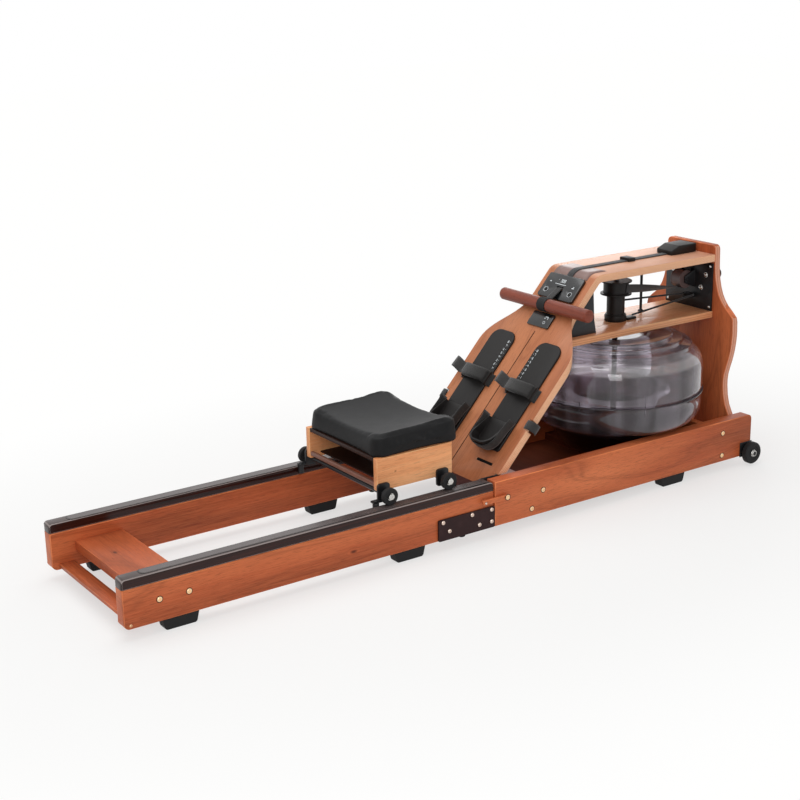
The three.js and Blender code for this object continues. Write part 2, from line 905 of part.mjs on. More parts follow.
function drivePlate() {
  const plate = block(
    [platePlane, uprightFront - fit],
    [-drivePlateHalfWidth, drivePlateHalfWidth],
    [shelfHeight + fit, shelfHeight + fit + drivePlateHeight],
  );
  const earInner = rollerWidth / 2 + rollerSideGap;
  const ears = [-1, 1].map((hand) => {
    const shape = outline([
      [rollerX - rollerAxleRadius * 2, rollerZ - rollerAxleRadius * 2, rollerAxleRadius],
      [platePlane + fit, rollerZ - rollerRadius],
      [platePlane + fit, rollerZ + rollerRadius],
      [rollerX - rollerAxleRadius * 2, rollerZ + rollerAxleRadius * 2, rollerAxleRadius],
    ]);
    return plateY(shape, across(hand, earInner, earInner + rollerEarThickness));
  });
  const axleEnd = earInner + rollerEarThickness + rollerAxleRadius / 2;
  const axle = discY(rollerAxleRadius, [-axleEnd, axleEnd], rollerX, rollerZ, 16);
  const [pulleyX, pulleyY, pulleyZ] = pulleyCentre;
  const half = bungeePulleyWidth / 2;
  const earBottom = pulleyZ - half - fit - bungeeEarThickness;
  const ear = block(
    [pulleyX - rollerAxleRadius * 2, platePlane + fit],
    [pulleyY - bungeePulleyRadius / 2, pulleyY + bungeePulleyRadius / 2],
    [earBottom, earBottom + bungeeEarThickness],
  );
  const pin = disc(
    rollerAxleRadius, [earBottom + fit, pulleyZ + half + fit + axleHeadHeight], 16,
  ).translate(pulleyX, pulleyY, 0);
  const pinHead = disc(
    rollerAxleRadius * 1.8, [pulleyZ + half + fit, pulleyZ + half + fit + axleHeadHeight], 16,
  ).translate(pulleyX, pulleyY, 0);
  const bumpers = [-1, 1].map((hand) => {
    const y = (hand * bumperSpacing) / 2;
    const z = shelfHeight + bumperUp;
    const start = uprightBack + fit;
    const bolt = discX(bumperBoltRadius, [platePlane + fit, start + fit], y, z, 16);
    const buffer = discX(bumperRadius, [start, start + bumperHeight], y, z);
    const boltHead = head(bumperBoltRadius, axleHeadHeight).rotateY(Math.PI / 2)
      .translate(start + bumperHeight - fit, y, z);
    return join(bolt, buffer, boltHead);
  });
  return join(plate, ...ears, axle, ear, pin, pinHead, ...bumpers);
}

function strapRoller() {
  const half = rollerWidth / 2;
  const bore = rollerAxleRadius + rollerAxleClearance;
  return turned([
    [bore, -half], [rollerRadius, -half], [rollerRadius, -half + rollerSideGap * 2],
    [rollerRadius - rollerSideGap, -half + rollerSideGap * 3],
    [rollerRadius - rollerSideGap, half - rollerSideGap * 3],
    [rollerRadius, half - rollerSideGap * 2], [rollerRadius, half], [bore, half], [bore, -half],
  ], 20).rotateX(-Math.PI / 2);
}

function bungeePulley() {
  const half = bungeePulleyWidth / 2;
  const bore = rollerAxleRadius + rollerAxleClearance;
  const groove = bungeePulleyRadius - bungeeRadius;
  return turned([
    [bore, -half], [bungeePulleyRadius, -half], [groove, 0], [bungeePulleyRadius, half],
    [bore, half], [bore, -half],
  ], 20);
}

// Tank: bowl with its seam flange, dome, and the water between wall and paddle
const tankSegments = 36;
const waistShares = [
  [0, 0], [0.234, 0.021], [0.494, 0.106], [0.754, 0.249], [0.922, 0.37], [1, 0.447],
];
const bulgeShares = [
  [0.248, 0.482], [0.517, 0.51], [0.753, 0.565], [0.904, 0.66], [0.979, 0.79], [1, 1],
];

// Profile of the bowl, moved in from its outer face
function bowlProfile(inset) {
  const waist = frontInner - tankWaistClearance;
  const rise = tankSeam - tankBottom;
  const outer = [
    ...waistShares.map(([across, up]) => [THREE.MathUtils.lerp(tankBottomRadius, waist, across), up]),
    ...bulgeShares.map(([across, up]) => [THREE.MathUtils.lerp(waist, tankRadius, across), up]),
  ].map(([radius, up]) => new THREE.Vector2(radius, tankBottom + rise * up));
  return outer.map((point, index) => {
    if (index === outer.length - 1) {
      return [point.x - inset, point.y];
    }
    const before = outer[index - 1] ?? new THREE.Vector2(0, tankBottom);
    const run = outer[index + 1].clone().sub(point).normalize()
      .add(point.clone().sub(before).normalize()).normalize();
    return [point.x - run.y * inset, point.y + run.x * inset];
  });
}

function tankBowl() {
  const outer = bowlProfile(0);
  const inner = bowlProfile(tankWall).reverse();
  const [, floor] = inner.at(-1);
  const flange = [
    [tankRadius, tankSeam - sealHeight], [tankRadius + sealWidth, tankSeam - sealHeight],
    [tankRadius + sealWidth, tankSeam],
  ];
  return turned([[0, tankBottom], ...outer.slice(0, -1), ...flange, ...inner, [0, floor]], tankSegments);
}

function tankDome() {
  const low = tankSeam + fit;
  const shoulder = (inset) => {
    const reach = tankRadius - neckRadius;
    const rise = tankTop - 2 * neckStep - tankShoulder;
    const points = [];
    const steps = 6;
    for (let step = 0; step <= steps; step += 1) {
      const turn = (Math.PI / 2) * (step / steps);
      points.push([
        neckRadius + reach * Math.cos(turn) - inset, tankShoulder + (rise - inset) * Math.sin(turn),
      ]);
    }
    return points;
  };
  const neck = neckRadius - neckStep;
  const bore = shaftRadius + shaftClearance;
  const outer = [
    [tankRadius, low], ...shoulder(0), [neckRadius, tankTop - neckStep], [neck, tankTop - neckStep],
    [neck, tankTop], [bore, tankTop],
  ];
  const inner = [
    [bore, tankTop - tankWall], [neck - tankWall, tankTop - tankWall],
    [neck - tankWall, tankTop - neckStep - tankWall], ...shoulder(tankWall).reverse(),
    [tankRadius - tankWall, low],
  ];
  return turned([...outer, ...inner, outer[0]], tankSegments);
}

const paddleBottom = tankBottom + tankWall + paddleBottomGap;
const cavityRadius = paddleRadius + paddleThickness;

function water() {
  const level = tankSeam - waterDrop;
  const wall = bowlProfile(tankWall + waterGap);
  const above = wall.findIndex(([, height]) => height > level);
  const [[lowRadius, lowHeight], [highRadius, highHeight]] = [wall[above - 1], wall[above]];
  const share = (level - lowHeight) / (highHeight - lowHeight);
  const surfaceRadius = THREE.MathUtils.lerp(lowRadius, highRadius, share);
  const [[, floor]] = wall;
  const cavityFloor = paddleBottom - paddleThickness;
  return turned([
    [0, floor], ...wall.slice(0, above), [surfaceRadius, level], [cavityRadius, level],
    [cavityRadius, cavityFloor], [0, cavityFloor],
  ], tankSegments);
}

// Paddle on the main shaft, with the collar that keeps the shaft from dropping
function impeller() {
  const collarTop = tankTop - collarBelowTop;
  const collarBottom = collarTop - collarHeight;
  const hubTop = paddleBottom + paddleHeight;
  const shaft = turned([
    [0, paddleBottom], [paddleHubRadius, paddleBottom], [paddleHubRadius, hubTop],
    [shaftRadius, hubTop], [shaftRadius, collarBottom], [collarRadius, collarBottom],
    [collarRadius, collarTop], [shaftRadius, collarTop], [shaftRadius, shaftTop], [0, shaftTop],
  ], 24);
  const blades = [0, 1, 2, 3].map((index) => block(
    [paddleHubRadius / 2, paddleRadius],
    [-paddleThickness / 2, paddleThickness / 2],
    [paddleBottom + paddleSweep, hubTop - paddleSweep],
  ).rotateZ((index * Math.PI) / 2 + Math.PI / 4));
  return join(shaft, ...blades);
}

// Drive on the shelf: shaft bearing with its tail, and the drum and spool in one moulding
function shaftBearing() {
  const bearing = ring(
    shaftRadius + shaftClearance, bearingRadius, [shelfHeight + fit, shelfHeight + fit + bearingHeight],
  ).translate(tankX, 0, 0);
  const tail = block(
    [tankX + bearingRadius * 0.8, tankX + bearingTail],
    [-bearingTailWidth, 0],
    [shelfHeight + fit, shelfHeight + fit + bearingTailHeight],
  );
  return join(bearing, tail);
}

function strapSpool() {
  const bore = shaftRadius + shaftClearance;
  const drumTop = bungeeDrumHeight - drumFlangeHeight;
  const spoolLow = bungeeDrumHeight;
  const top = spoolLow + spoolHeight;
  return turned([
    [bore, 0], [bungeeDrumFlange, 0], [bungeeDrumFlange, drumFlangeHeight],
    [bungeeDrumRadius, drumFlangeHeight], [bungeeDrumRadius, drumTop], [bungeeDrumFlange, drumTop],
    [bungeeDrumFlange, spoolLow], [spoolFlange, spoolLow], [spoolFlange, spoolLow + drumFlangeHeight],
    [spoolRadius, spoolLow + drumFlangeHeight], [spoolRadius, top - drumFlangeHeight],
    [spoolFlange, top - drumFlangeHeight], [spoolFlange, top], [bore, top], [bore, 0],
  ], 20);
}

// Flat ribbon through points, each [centre, half-width direction]
function ribbon(stations, width, thickness) {
  const positions = [];
  const corners = [[-1, -1], [1, -1], [1, 1], [-1, 1]];
  stations.forEach(({ at, over, out }) => {
    corners.forEach(([a, b]) => {
      const corner = at.clone()
        .addScaledVector(over, (a * width) / 2)
        .addScaledVector(out, (b * thickness) / 2);
      positions.push(corner.x, corner.y, corner.z);
    });
  });
  const index = [];
  for (let station = 0; station < stations.length - 1; station += 1) {
    for (let corner = 0; corner < 4; corner += 1) {
      const a = station * 4 + corner;
      const b = station * 4 + ((corner + 1) % 4);
      index.push(a, b, b + 4, a, b + 4, a + 4);
    }
  }
  const last = (stations.length - 1) * 4;
  index.push(0, 2, 1, 0, 3, 2, last, last + 1, last + 2, last, last + 2, last + 3);
  const geometry = new THREE.BufferGeometry();
  geometry.setAttribute('position', new THREE.Float32BufferAttribute(positions, 3));
  geometry.setIndex(index);
  geometry.computeVertexNormals();
  return geometry;
}

const along = new THREE.Vector3(Math.cos(slope), 0, Math.sin(slope));
const normal = new THREE.Vector3(-Math.sin(slope), 0, Math.cos(slope));
const towardLeft = new THREE.Vector3(0, 1, 0);
const slopePoint = (up, lift) => new THREE.Vector3(slopeStart, 0, boardTop)
  .addScaledVector(along, up)
  .addScaledVector(normal, lift);

const strapOffset = strapLift + strapThickness / 2;
const exitUp = consoleUp + exitSlotUp;
const handleAxis = slopePoint(handleUp, handleLift);
const wrapRadius = handleRadius + wrapThickness;
const woundOffset = fit + strapThickness / 2;
const spoolRide = spoolRadius + 2 * fit + strapThickness / 2;

// Share of the way to the spool over which the strap makes its quarter turn
const twistShare = 0.86;

// Strap from its exit in the console over the bend, along the top board, down round the
// roller and, with a quarter turn, on to the spool
function driveStrap() {
  const stations = [];
  const add = (at, over, out) => stations.push({ at, over, out });
  add(slopePoint(exitUp + exitSlotLength / 2, strapOffset), towardLeft, normal);
  const bendCentre = new THREE.Vector3(bendX + bendRadius * Math.tan(slope / 2), 0, topBoardHeight - bendRadius);
  const bendSteps = 6;
  for (let step = 0; step <= bendSteps; step += 1) {
    const turn = slope * (1 - step / bendSteps);
    const out = new THREE.Vector3(-Math.sin(turn), 0, Math.cos(turn));
    add(bendCentre.clone().addScaledVector(out, bendRadius + strapOffset), towardLeft, out);
  }
  const dropX = rollerX + strapSlotAhead + strapThickness * 2;
  const corner = new THREE.Vector3(dropX - strapTurnRadius, 0, topBoardHeight + strapOffset - strapTurnRadius);
  const cornerSteps = 4;
  for (let step = 0; step <= cornerSteps; step += 1) {
    const turn = (Math.PI / 2) * (step / cornerSteps);
    const out = new THREE.Vector3(Math.sin(turn), 0, Math.cos(turn));
    add(corner.clone().addScaledVector(out, strapTurnRadius), towardLeft, out);
  }
  const roller = new THREE.Vector3(rollerX, 0, rollerZ);
  const wound = rollerRadius + woundOffset;
  const lead = Math.atan2(rollerX + wound - dropX, topBoardHeight - rollerZ);
  const leave = Math.atan2(spoolMiddle - rollerZ + wound, rollerX - tankX);
  const wrapSteps = 8;
  for (let step = 0; step <= wrapSteps; step += 1) {
    const turn = -lead + (Math.PI / 2 + lead + leave) * (step / wrapSteps);
    const out = new THREE.Vector3(Math.cos(turn), 0, -Math.sin(turn));
    add(roller.clone().addScaledVector(out, wound), towardLeft, out);
  }
  const { at: start, out: startOut } = stations.at(-1);
  const tangent = Math.acos(spoolRide / (start.x - tankX));
  const endOut = new THREE.Vector3(Math.cos(tangent), -Math.sin(tangent), 0);
  const spoolEnd = new THREE.Vector3(tankX, 0, spoolMiddle + strapThickness / 2)
    .addScaledVector(endOut, spoolRide);
  const run = spoolEnd.clone().sub(start).normalize();
  const twistSteps = 9;
  for (let step = 1; step <= twistSteps; step += 1) {
    const share = step / twistSteps;
    const turn = (Math.PI / 2) * Math.min(1, share / twistShare);
    const out = startOut.clone().multiplyScalar(Math.cos(turn)).addScaledVector(endOut, Math.sin(turn));
    out.addScaledVector(run, -out.dot(run)).normalize();
    add(start.clone().lerp(spoolEnd, share), out.clone().cross(run), out);
  }
  return ribbon(stations, strapWidth, strapThickness);
}

// Free end of the strap, from the slot in the console to the wrap on the handle
function pullStrap() {
  const end = slopePoint(exitUp + exitSlotLength / 2 - fit, strapOffset);
  const mouth = slopePoint(exitUp - fit, consoleThickness + strapThickness);
  const hold = slopePoint(handleUp + wrapRadius + 2 * fit, handleLift);
  const rise = (from, to) => {
    const run = to.clone().sub(from).normalize();
    return run.cross(towardLeft).negate();
  };
  const first = rise(end, mouth).negate();
  const last = rise(mouth, hold).negate();
  return ribbon([
    { at: end, over: towardLeft, out: normal },
    { at: mouth, over: towardLeft, out: first.clone().add(last).normalize() },
    { at: hold, over: towardLeft, out: last },
  ], strapWidth, strapThickness);
}

// Round cord through points, closed at both ends
function cord(points, radius, sides = 6) {
  const at = points.map((point) => point.clone());
  const positions = [];
  let up = new THREE.Vector3(0, 0, 1);
  at.forEach((point, index) => {
    const before = at[Math.max(index - 1, 0)];
    const after = at[Math.min(index + 1, at.length - 1)];
    const run = after.clone().sub(before).normalize();
    const across = new THREE.Vector3().crossVectors(run, up).normalize();
    up = new THREE.Vector3().crossVectors(across, run).normalize();
    for (let corner = 0; corner < sides; corner += 1) {
      const turn = (2 * Math.PI * corner) / sides;
      const spoke = point.clone()
        .addScaledVector(across, radius * Math.cos(turn))
        .addScaledVector(up, radius * Math.sin(turn));
      positions.push(spoke.x, spoke.y, spoke.z);
    }
  });
  const index = [];
  for (let ringIndex = 0; ringIndex < at.length - 1; ringIndex += 1) {
    for (let corner = 0; corner < sides; corner += 1) {
      const a = ringIndex * sides + corner;
      const b = ringIndex * sides + ((corner + 1) % sides);
      index.push(a, b + sides, b, a, a + sides, b + sides);
    }
  }
  const last = (at.length - 1) * sides;
  for (let corner = 1; corner < sides - 1; corner += 1) {
    index.push(0, corner, corner + 1, last, last + corner + 1, last + corner);
  }
  const geometry = new THREE.BufferGeometry();
  geometry.setAttribute('position', new THREE.Float32BufferAttribute(positions, 3));
  geometry.setIndex(index);
  geometry.computeVertexNormals();
  return geometry;
}

// Elastic cord from the drum round its pulley and back to the bearing's tail
function bungeeCord() {
  const [pulleyX, pulleyY, pulleyZ] = pulleyCentre;
  const ride = bungeePulleyRadius - bungeeRadius + bungeeRadius + bungeeGap;
  const drumRide = bungeeDrumRadius + bungeeRadius + bungeeGap;
  const points = [
    new THREE.Vector3(tankX, drumRide, bungeeDrumBottom + bungeeDrumUp),
    new THREE.Vector3(pulleyX - ride * 2, pulleyY + ride * 1.15, pulleyZ + bungeeRadius),
  ];
  const wrapSteps = 10;
  for (let step = 0; step <= wrapSteps; step += 1) {
    const turn = Math.PI / 2 - (Math.PI * step) / wrapSteps;
    points.push(new THREE.Vector3(
      pulleyX + ride * Math.cos(turn), pulleyY + ride * Math.sin(turn), pulleyZ,
    ));
  }
  const tailTop = shelfHeight + fit + bearingTailHeight;
  points.push(new THREE.Vector3(
    tankX + bearingTail - bungeeRadius * 2, -bearingTailWidth / 2, tailTop + bungeeRadius + bungeeGap,
  ));
  return cord(points, bungeeRadius);
}

// Low bridge over the strap, standing on the top board
function strapBridge(start, length, width, height) {
  const floor = topBoardHeight + fit;
  const body = plateX(outline([
    [-width / 2, floor],
    [width / 2, floor],
    [width / 2, floor + height, edgeRound],
    [-width / 2, floor + height, edgeRound],
  ], 2), [start, start + length]);
  const tunnel = block(
    [start - overrun, start + length + overrun],
    [-strapWidth / 2 - channelSide, strapWidth / 2 + channelSide],
    [floor - overrun, topBoardHeight + channelHeight],
  );
  return cut(body, tunnel);
}

function fairlead() {
  return strapBridge(bendX + fairleadAhead, fairleadLength, fairleadWidth, fairleadHeight);
}

function topHousing() {
  const floor = topBoardHeight + fit;
  const front = topBoardEnd - housingBehindPlate / 2;
  const rear = front - housingLength;
  const shape = outline([
    [rear, floor],
    [front, floor],
    [front, floor + housingHeight, edgeRound * 2],
    [rear + housingTaper * 2, floor + housingHeight, edgeRound * 4],
    [rear, floor + housingHeight / 2, edgeRound * 2],
  ], 4);
  const body = plateY(shape, [-housingWidth / 2, housingWidth / 2], edgeRound);
  const halfTunnel = strapWidth / 2 + channelSide;
  const tunnel = block(
    [rear - overrun, rollerX + strapSlotAhead],
    [-halfTunnel, halfTunnel],
    [floor - overrun, topBoardHeight + channelHeight],
  );
  const well = block(
    [rollerX + strapSlotAhead - strapSlotLength / 2, rollerX + strapSlotAhead + strapSlotLength / 2],
    [-halfTunnel, halfTunnel],
    [floor - overrun, floor + housingHeight / 2],
  );
  return cut(body, tunnel, well);
}

// Console and lower panel, drawn flat on the slope
function roundedPlate([s0, s1], [y0, y1], [low, high], round, bevel = 0) {
  return plateZ(outline([
    [s0, y0, round], [s1, y0, round], [s1, y1, round], [s0, y1, round],
  ], 4), [low, high], bevel);
}

function consolePanel() {
  const top = fit + consoleThickness;
  const body = roundedPlate(
    [consoleUp, consoleUp + consoleLength],
    [-consoleWidth / 2, consoleWidth / 2],
    [fit, top],
    consoleCorner,
    edgeRound / 2,
  );
  const halfTunnel = strapWidth / 2 + channelSide;
  const slot = block(
    [exitUp - exitSlotLength / 2, exitUp + exitSlotLength / 2],
    [-halfTunnel, halfTunnel],
    [-overrun, top + overrun],
  );
  const tunnel = block(
    [exitUp, consoleUp + consoleLength + overrun],
    [-halfTunnel, halfTunnel],
    [-overrun, channelHeight],
  );
  const pockets = [-1, 1].map((hand) => disc(
    buttonRadius + buttonClearance, [top - buttonSink - buttonTravel - fit, top + overrun], 16,
  ).translate(consoleUp + buttonUp, (hand * buttonSpacing) / 2, 0));
  return cut(body, slot, tunnel, ...pockets);
}

function lowerPanel() {
  return roundedPlate(
    [lowerPanelUp, lowerPanelUp + lowerPanelLength],
    [-lowerPanelWidth / 2, lowerPanelWidth / 2],
    [fit, fit + lowerPanelThickness],
    consoleCorner / 2,
    edgeRound / 2,
  );
}

function button() {
  return turned([
    [0, -buttonSink], [buttonRadius, -buttonSink], [buttonRadius, buttonHeight * 0.6],
    [buttonRadius * 0.8, buttonHeight], [0, buttonHeight],
  ], 16);
}

// Handle about Y, and the sleeve in its middle
function handleGrip() {
  const half = handleLength / 2;
  const end = [];
  const steps = 3;
  for (let step = 0; step <= steps; step += 1) {
    const turn = (Math.PI / 2) * (step / steps);
    end.push([
      handleRadius - handleEndRound * (1 - Math.cos(turn)),
      half - handleEndRound * (1 - Math.sin(turn)),
    ]);
  }
  const mirrored = end.map(([radius, at]) => [radius, -at]).reverse();
  return turned([[0, -half], ...mirrored, ...end, [0, half]], 20).rotateX(-Math.PI / 2);
}

function handleWrap() {
  const half = wrapLength / 2;
  return ring(handleRadius + fit, wrapRadius, [-half, half], 20).rotateX(-Math.PI / 2);
}

// Foot plate, heel cup and toe strap, drawn flat on the slope about y = 0
const plateLift = fit + footPlateThickness;

function footPlate() {
  const half = footPlateWidth / 2;
  return plateZ(outline([
    [footPlateUp, -half, footPlateLowRound],
    [footPlateUp + footPlateLength, -half, footPlateTopRound],
    [footPlateUp + footPlateLength, half, footPlateTopRound],
    [footPlateUp, half, footPlateLowRound],
  ]), [fit, plateLift], edgeRound);
}

function heelCup() {
  const half = heelWidth / 2;
  const low = plateLift + heelGrip;
  const cup = (inset) => outline([
    [heelUp + inset, -half + inset, half * 0.75],
    [heelUp + heelLength, -half + inset],
    [heelUp + heelLength, half - inset],
    [heelUp + inset, half - inset, half * 0.75],
  ], 8);
  const open = (inset) => outline([
    [heelUp + inset, -half + inset, half * 0.75 - inset],
    [heelUp + heelLength + overrun, -half + inset],
    [heelUp + heelLength + overrun, half - inset],
    [heelUp + inset, half - inset, half * 0.75 - inset],
  ], 8);
  const body = plateZ(cup(0), [low, low + heelBase + heelWallHeight]);
  const pocket = plateZ(open(heelWall), [low + heelBase, low + heelBase + heelWallHeight + overrun]);
  const fall = Math.atan2(heelWallHeight - heelWall, heelLength);
  const slice = block([-overrun, heelLength * 2], [-half - overrun, half + overrun], [0, heelWallHeight * 2])
    .rotateY(fall)
    .translate(heelUp + heelWall, 0, low + heelBase + heelWallHeight);
  return cut(body, pocket, slice);
}

function toeStrap() {
  const reach = footPlateWidth / 2 + toeStrapThickness;
  const seat = fit + toeStrapThickness / 2;
  const tab = toeStrapThickness * 3;
  const stations = [];
  const over = new THREE.Vector3(-1, 0, 0);
  const add = (y, lift, turn) => stations.push({
    at: new THREE.Vector3(toeStrapUp + toeStrapWidth / 2, y, lift),
    over,
    out: new THREE.Vector3(0, Math.cos(turn), Math.sin(turn)),
  });
  add(-reach - tab, seat, Math.PI / 2);
  add(-reach - toeStrapThickness / 2, seat, (Math.PI * 5) / 8);
  const steps = 12;
  for (let step = 1; step < steps; step += 1) {
    const turn = Math.PI * (1 - step / steps);
    add(reach * Math.cos(turn), seat + (toeStrapRise + footPlateThickness) * Math.sin(turn) ** 0.8, turn);
  }
  add(reach + toeStrapThickness / 2, seat, (Math.PI * 3) / 8);
  add(reach + tab, seat, Math.PI / 2);
  return ribbon(stations, toeStrapWidth, toeStrapThickness);
}

// Transport wheel, and the plate and axle that it turns on
const transportX = frontEnd - transportBehindNose;
const transportZ = transportRadius + transportFloorGap;
const transportInner = frontOuter + transportSideGap;

function transportWheel() {
  const half = transportWidth / 2;
  const bore = transportBore + transportClearance;
  const round = transportWheelRound;
  return turned([
    [bore, -half], [transportRadius - round, -half], [transportRadius, -half + round],
    [transportRadius, half - round], [transportRadius - round, half], [bore, half], [bore, -half],
  ], 24).rotateX(-Math.PI / 2);
}

function wheelBracket(side) {
  const face = frontOuter + fit;
  const outer = transportInner + transportWidth;
  const plate = block(
    [transportX - transportPlateLength + transportAxleHead, transportX + transportAxleHead],
    across(side, face, face + transportPlateThickness),
    [transportZ - transportAxleHead, transportZ - transportAxleHead + transportPlateHeight],
  );
  const axle = discY(
    transportBore, across(side, face, outer + fit + axleHeadHeight), transportX, transportZ, 16,
  );
  const cap = headOnSide(side, transportAxleHead, axleHeadHeight * 1.5, transportX, transportZ, outer + fit);
  return join(plate, axle, cap);
}

// Seat: cushion, wooden carrier, two trucks of brackets on an axle, and wheels
const seatWheelZ = trackTop + fit + seatWheelRadius;
const seatWheelInner = trackInner + seatWheelInset;
const seatFront = seatRear + sideLength;
const seatWheelXs = [seatRear + seatWheelRearInset, seatFront - seatWheelFrontInset];
const sideOuter = sideOuterWidth / 2;
const sideInner = sideOuter - sideThickness;
const rodZ = sideBottom - fit - axleRodRadius;

function seatCushion() {
  const halfLength = cushionLength / 2;
  const halfWidth = cushionWidth / 2;
  const plan = outline([
    [-halfLength, -halfWidth, cushionCorner], [halfLength, -halfWidth, cushionCorner],
    [halfLength, halfWidth, cushionCorner], [-halfLength, halfWidth, cushionCorner],
  ], 6).getPoints();
  const around = 52;
  const rim = new THREE.CatmullRomCurve3(
    plan.map((point) => new THREE.Vector3(point.x, point.y, 0)), true, 'centripetal',
  ).getSpacedPoints(around).slice(0, around);
  const top = (x, y) => {
    const u = x / halfLength;
    const v = y / halfWidth;
    return cushionEdgeHeight + cushionRim * v * v - (cushionRearDrop * (1 - u)) / 2
      - cushionScoop * (1 - v * v) * (1 - 0.6 * u * u);
  };
  const rings = [];
  const addRing = (inset, height) => rings.push(rim.map((point) => {
    const scale = 1 - inset / Math.hypot(point.x, point.y);
    const x = point.x * scale;
    const y = point.y * scale;
    return [x, y, height(x, y)];
  }));
  const sideSteps = 4;
  for (let step = 0; step <= sideSteps; step += 1) {
    const share = step / sideSteps;
    addRing(
      cushionDrawIn * (0.4 + Math.sin(Math.PI * share) * 0.6),
      (x, y) => share * (top(x, y) - cushionEdgeRound),
    );
  }
  const roundSteps = 4;
  for (let step = 1; step <= roundSteps; step += 1) {
    const turn = (Math.PI / 2) * (step / roundSteps);
    addRing(
      cushionDrawIn * 0.4 + cushionEdgeRound * (1 - Math.cos(turn)),
      (x, y) => top(x, y) - cushionEdgeRound * (1 - Math.sin(turn)),
    );
  }
  const crownShares = [0.84, 0.66, 0.46, 0.25];
  crownShares.forEach((share) => rings.push(rings[sideSteps + roundSteps].map(([x, y]) => (
    [x * share, y * share, top(x * share, y * share)]
  ))));
  const positions = [[0, 0, 0], ...rings.flat(), [0, 0, top(0, 0)]].flat();
  const index = [];
  const lastPoint = rings.length * around + 1;
  for (let step = 0; step < around; step += 1) {
    const next = (step + 1) % around;
    index.push(0, 1 + next, 1 + step);
    for (let level = 0; level < rings.length - 1; level += 1) {
      const a = 1 + level * around + step;
      const b = 1 + level * around + next;
      index.push(a, b, b + around, a, b + around, a + around);
    }
    const upper = 1 + (rings.length - 1) * around;
    index.push(upper + step, upper + next, lastPoint);
  }
  const geometry = new THREE.BufferGeometry();
  geometry.setAttribute('position', new THREE.Float32BufferAttribute(positions, 3));
  geometry.setIndex(index);
  geometry.computeVertexNormals();
  return geometry;
}

// Panel between two side boards, with the steel plate that stiffens them
function seatFrame() {
  const panelTop = cushionBottom - fit;
  const boards = sides.map(([side]) => plateY(outline([
    [seatRear, sideBottom, edgeRound * 2], [seatFront, sideBottom, edgeRound * 2],
    [seatFront, panelTop], [seatRear, panelTop],
  ], 2), across(side, sideInner, sideOuter), edgeRound / 2));
  const span = [-sideInner - edgeRound, sideInner + edgeRound];
  const panel = block(
    [seatRear + edgeRound, seatFront - edgeRound], span, [panelTop - seatPanelThickness, panelTop],
  );
  const chassisBottom = sideBottom + chassisUp;
  const chassis = block(
    [seatRear + chassisInset, seatFront - edgeRound], span, [chassisBottom, chassisBottom + chassisThickness],
  );
  return join(...boards, panel, chassis);
}

// Truck: an axle rod from side to side with a bracket, a guide roller on its arm and a wheel
// bolt at each end
function seatTruck(x, end) {
  const face = sideOuter + fit;
  const wheelOuter = seatWheelInner + seatWheelWidth;
  const rollerAcross = railInner - guideRollerGap - guideRollerRadius;
  const armBottom = trackTop + guideArmLift;
  const armTop = armBottom + guideArmThickness;
  const rod = discY(axleRodRadius, [-face - bracketThickness / 2, face + bracketThickness / 2], x, rodZ, 16);
  const ends = sides.flatMap(([side]) => {
    const plate = plateY(outline([
      [x - bracketHalfLength, seatWheelZ - bracketDrop, bracketCorner],
      [x + bracketHalfLength, seatWheelZ - bracketDrop, bracketCorner],
      [x + bracketHalfLength, seatWheelZ + bracketRise, bracketCorner],
      [x - bracketHalfLength, seatWheelZ + bracketRise, bracketCorner],
    ], 3), across(side, face, face + bracketThickness));
    const boss = discY(
      axleBossRadius, across(side, face + bracketThickness / 2, seatWheelInner - fit), x, seatWheelZ, 16,
    );
    const bolt = discY(
      seatWheelBore,
      across(side, face + bracketThickness / 2, wheelOuter + fit + axleHeadHeight / 2),
      x,
      seatWheelZ,
      16,
    );
    const cap = headOnSide(side, axleHeadRadius, axleHeadHeight, x, seatWheelZ, wheelOuter + fit);
    const rollerAt = x + end * guideRollerAhead;
    const armEnds = [x + end * bracketCorner, rollerAt + end * guideRollerRadius];
    const arm = block(
      armEnds.sort((a, b) => a - b),
      across(side, face, rollerAcross + guideRollerRadius / 2),
      [armBottom, armTop],
    );
    const roller = disc(guideRollerRadius, [armBottom + fit - guideRollerHeight, armBottom + fit], 16)
      .translate(rollerAt, side * rollerAcross, 0);
    const dome = head(guideRollerRadius * 0.65, axleHeadHeight)
      .translate(rollerAt, side * rollerAcross, armTop - fit);
    return [plate, boss, bolt, cap, arm, roller, dome];
  });
  return join(rod, ...ends);
}

function seatWheel() {
  const half = seatWheelWidth / 2;
  const bore = seatWheelBore + seatWheelClearance;
  const round = seatWheelRim / 2;
  return turned([
    [bore, -half], [seatWheelRadius - round, -half], [seatWheelRadius, -half + round],
    [seatWheelRadius, half - round], [seatWheelRadius - round, half], [bore, half], [bore, -half],
  ], 24).rotateX(-Math.PI / 2);
}

// Rear section, which turns up about the hinge
const rearSection = new THREE.Group();
rearSection.name = 'rear_section';
sides.forEach(([side, name]) => {
  place(rearSection, `rail_${name}`, rail(side), wood);
  place(rearSection, `cap_${name}`, railCap(side), capPlastic);
});
sides.forEach(([side, name]) => {
  place(rearSection, `splice_plate_${name}`, splicePlate(side), plateSteel);
});
place(rearSection, 'rear_cross_board', rearCrossBoard(), wood);
place(rearSection, 'rear_stretcher', rearStretcher(), wood);
place(rearSection, 'joint_plate', jointPlate(), blackSteel);

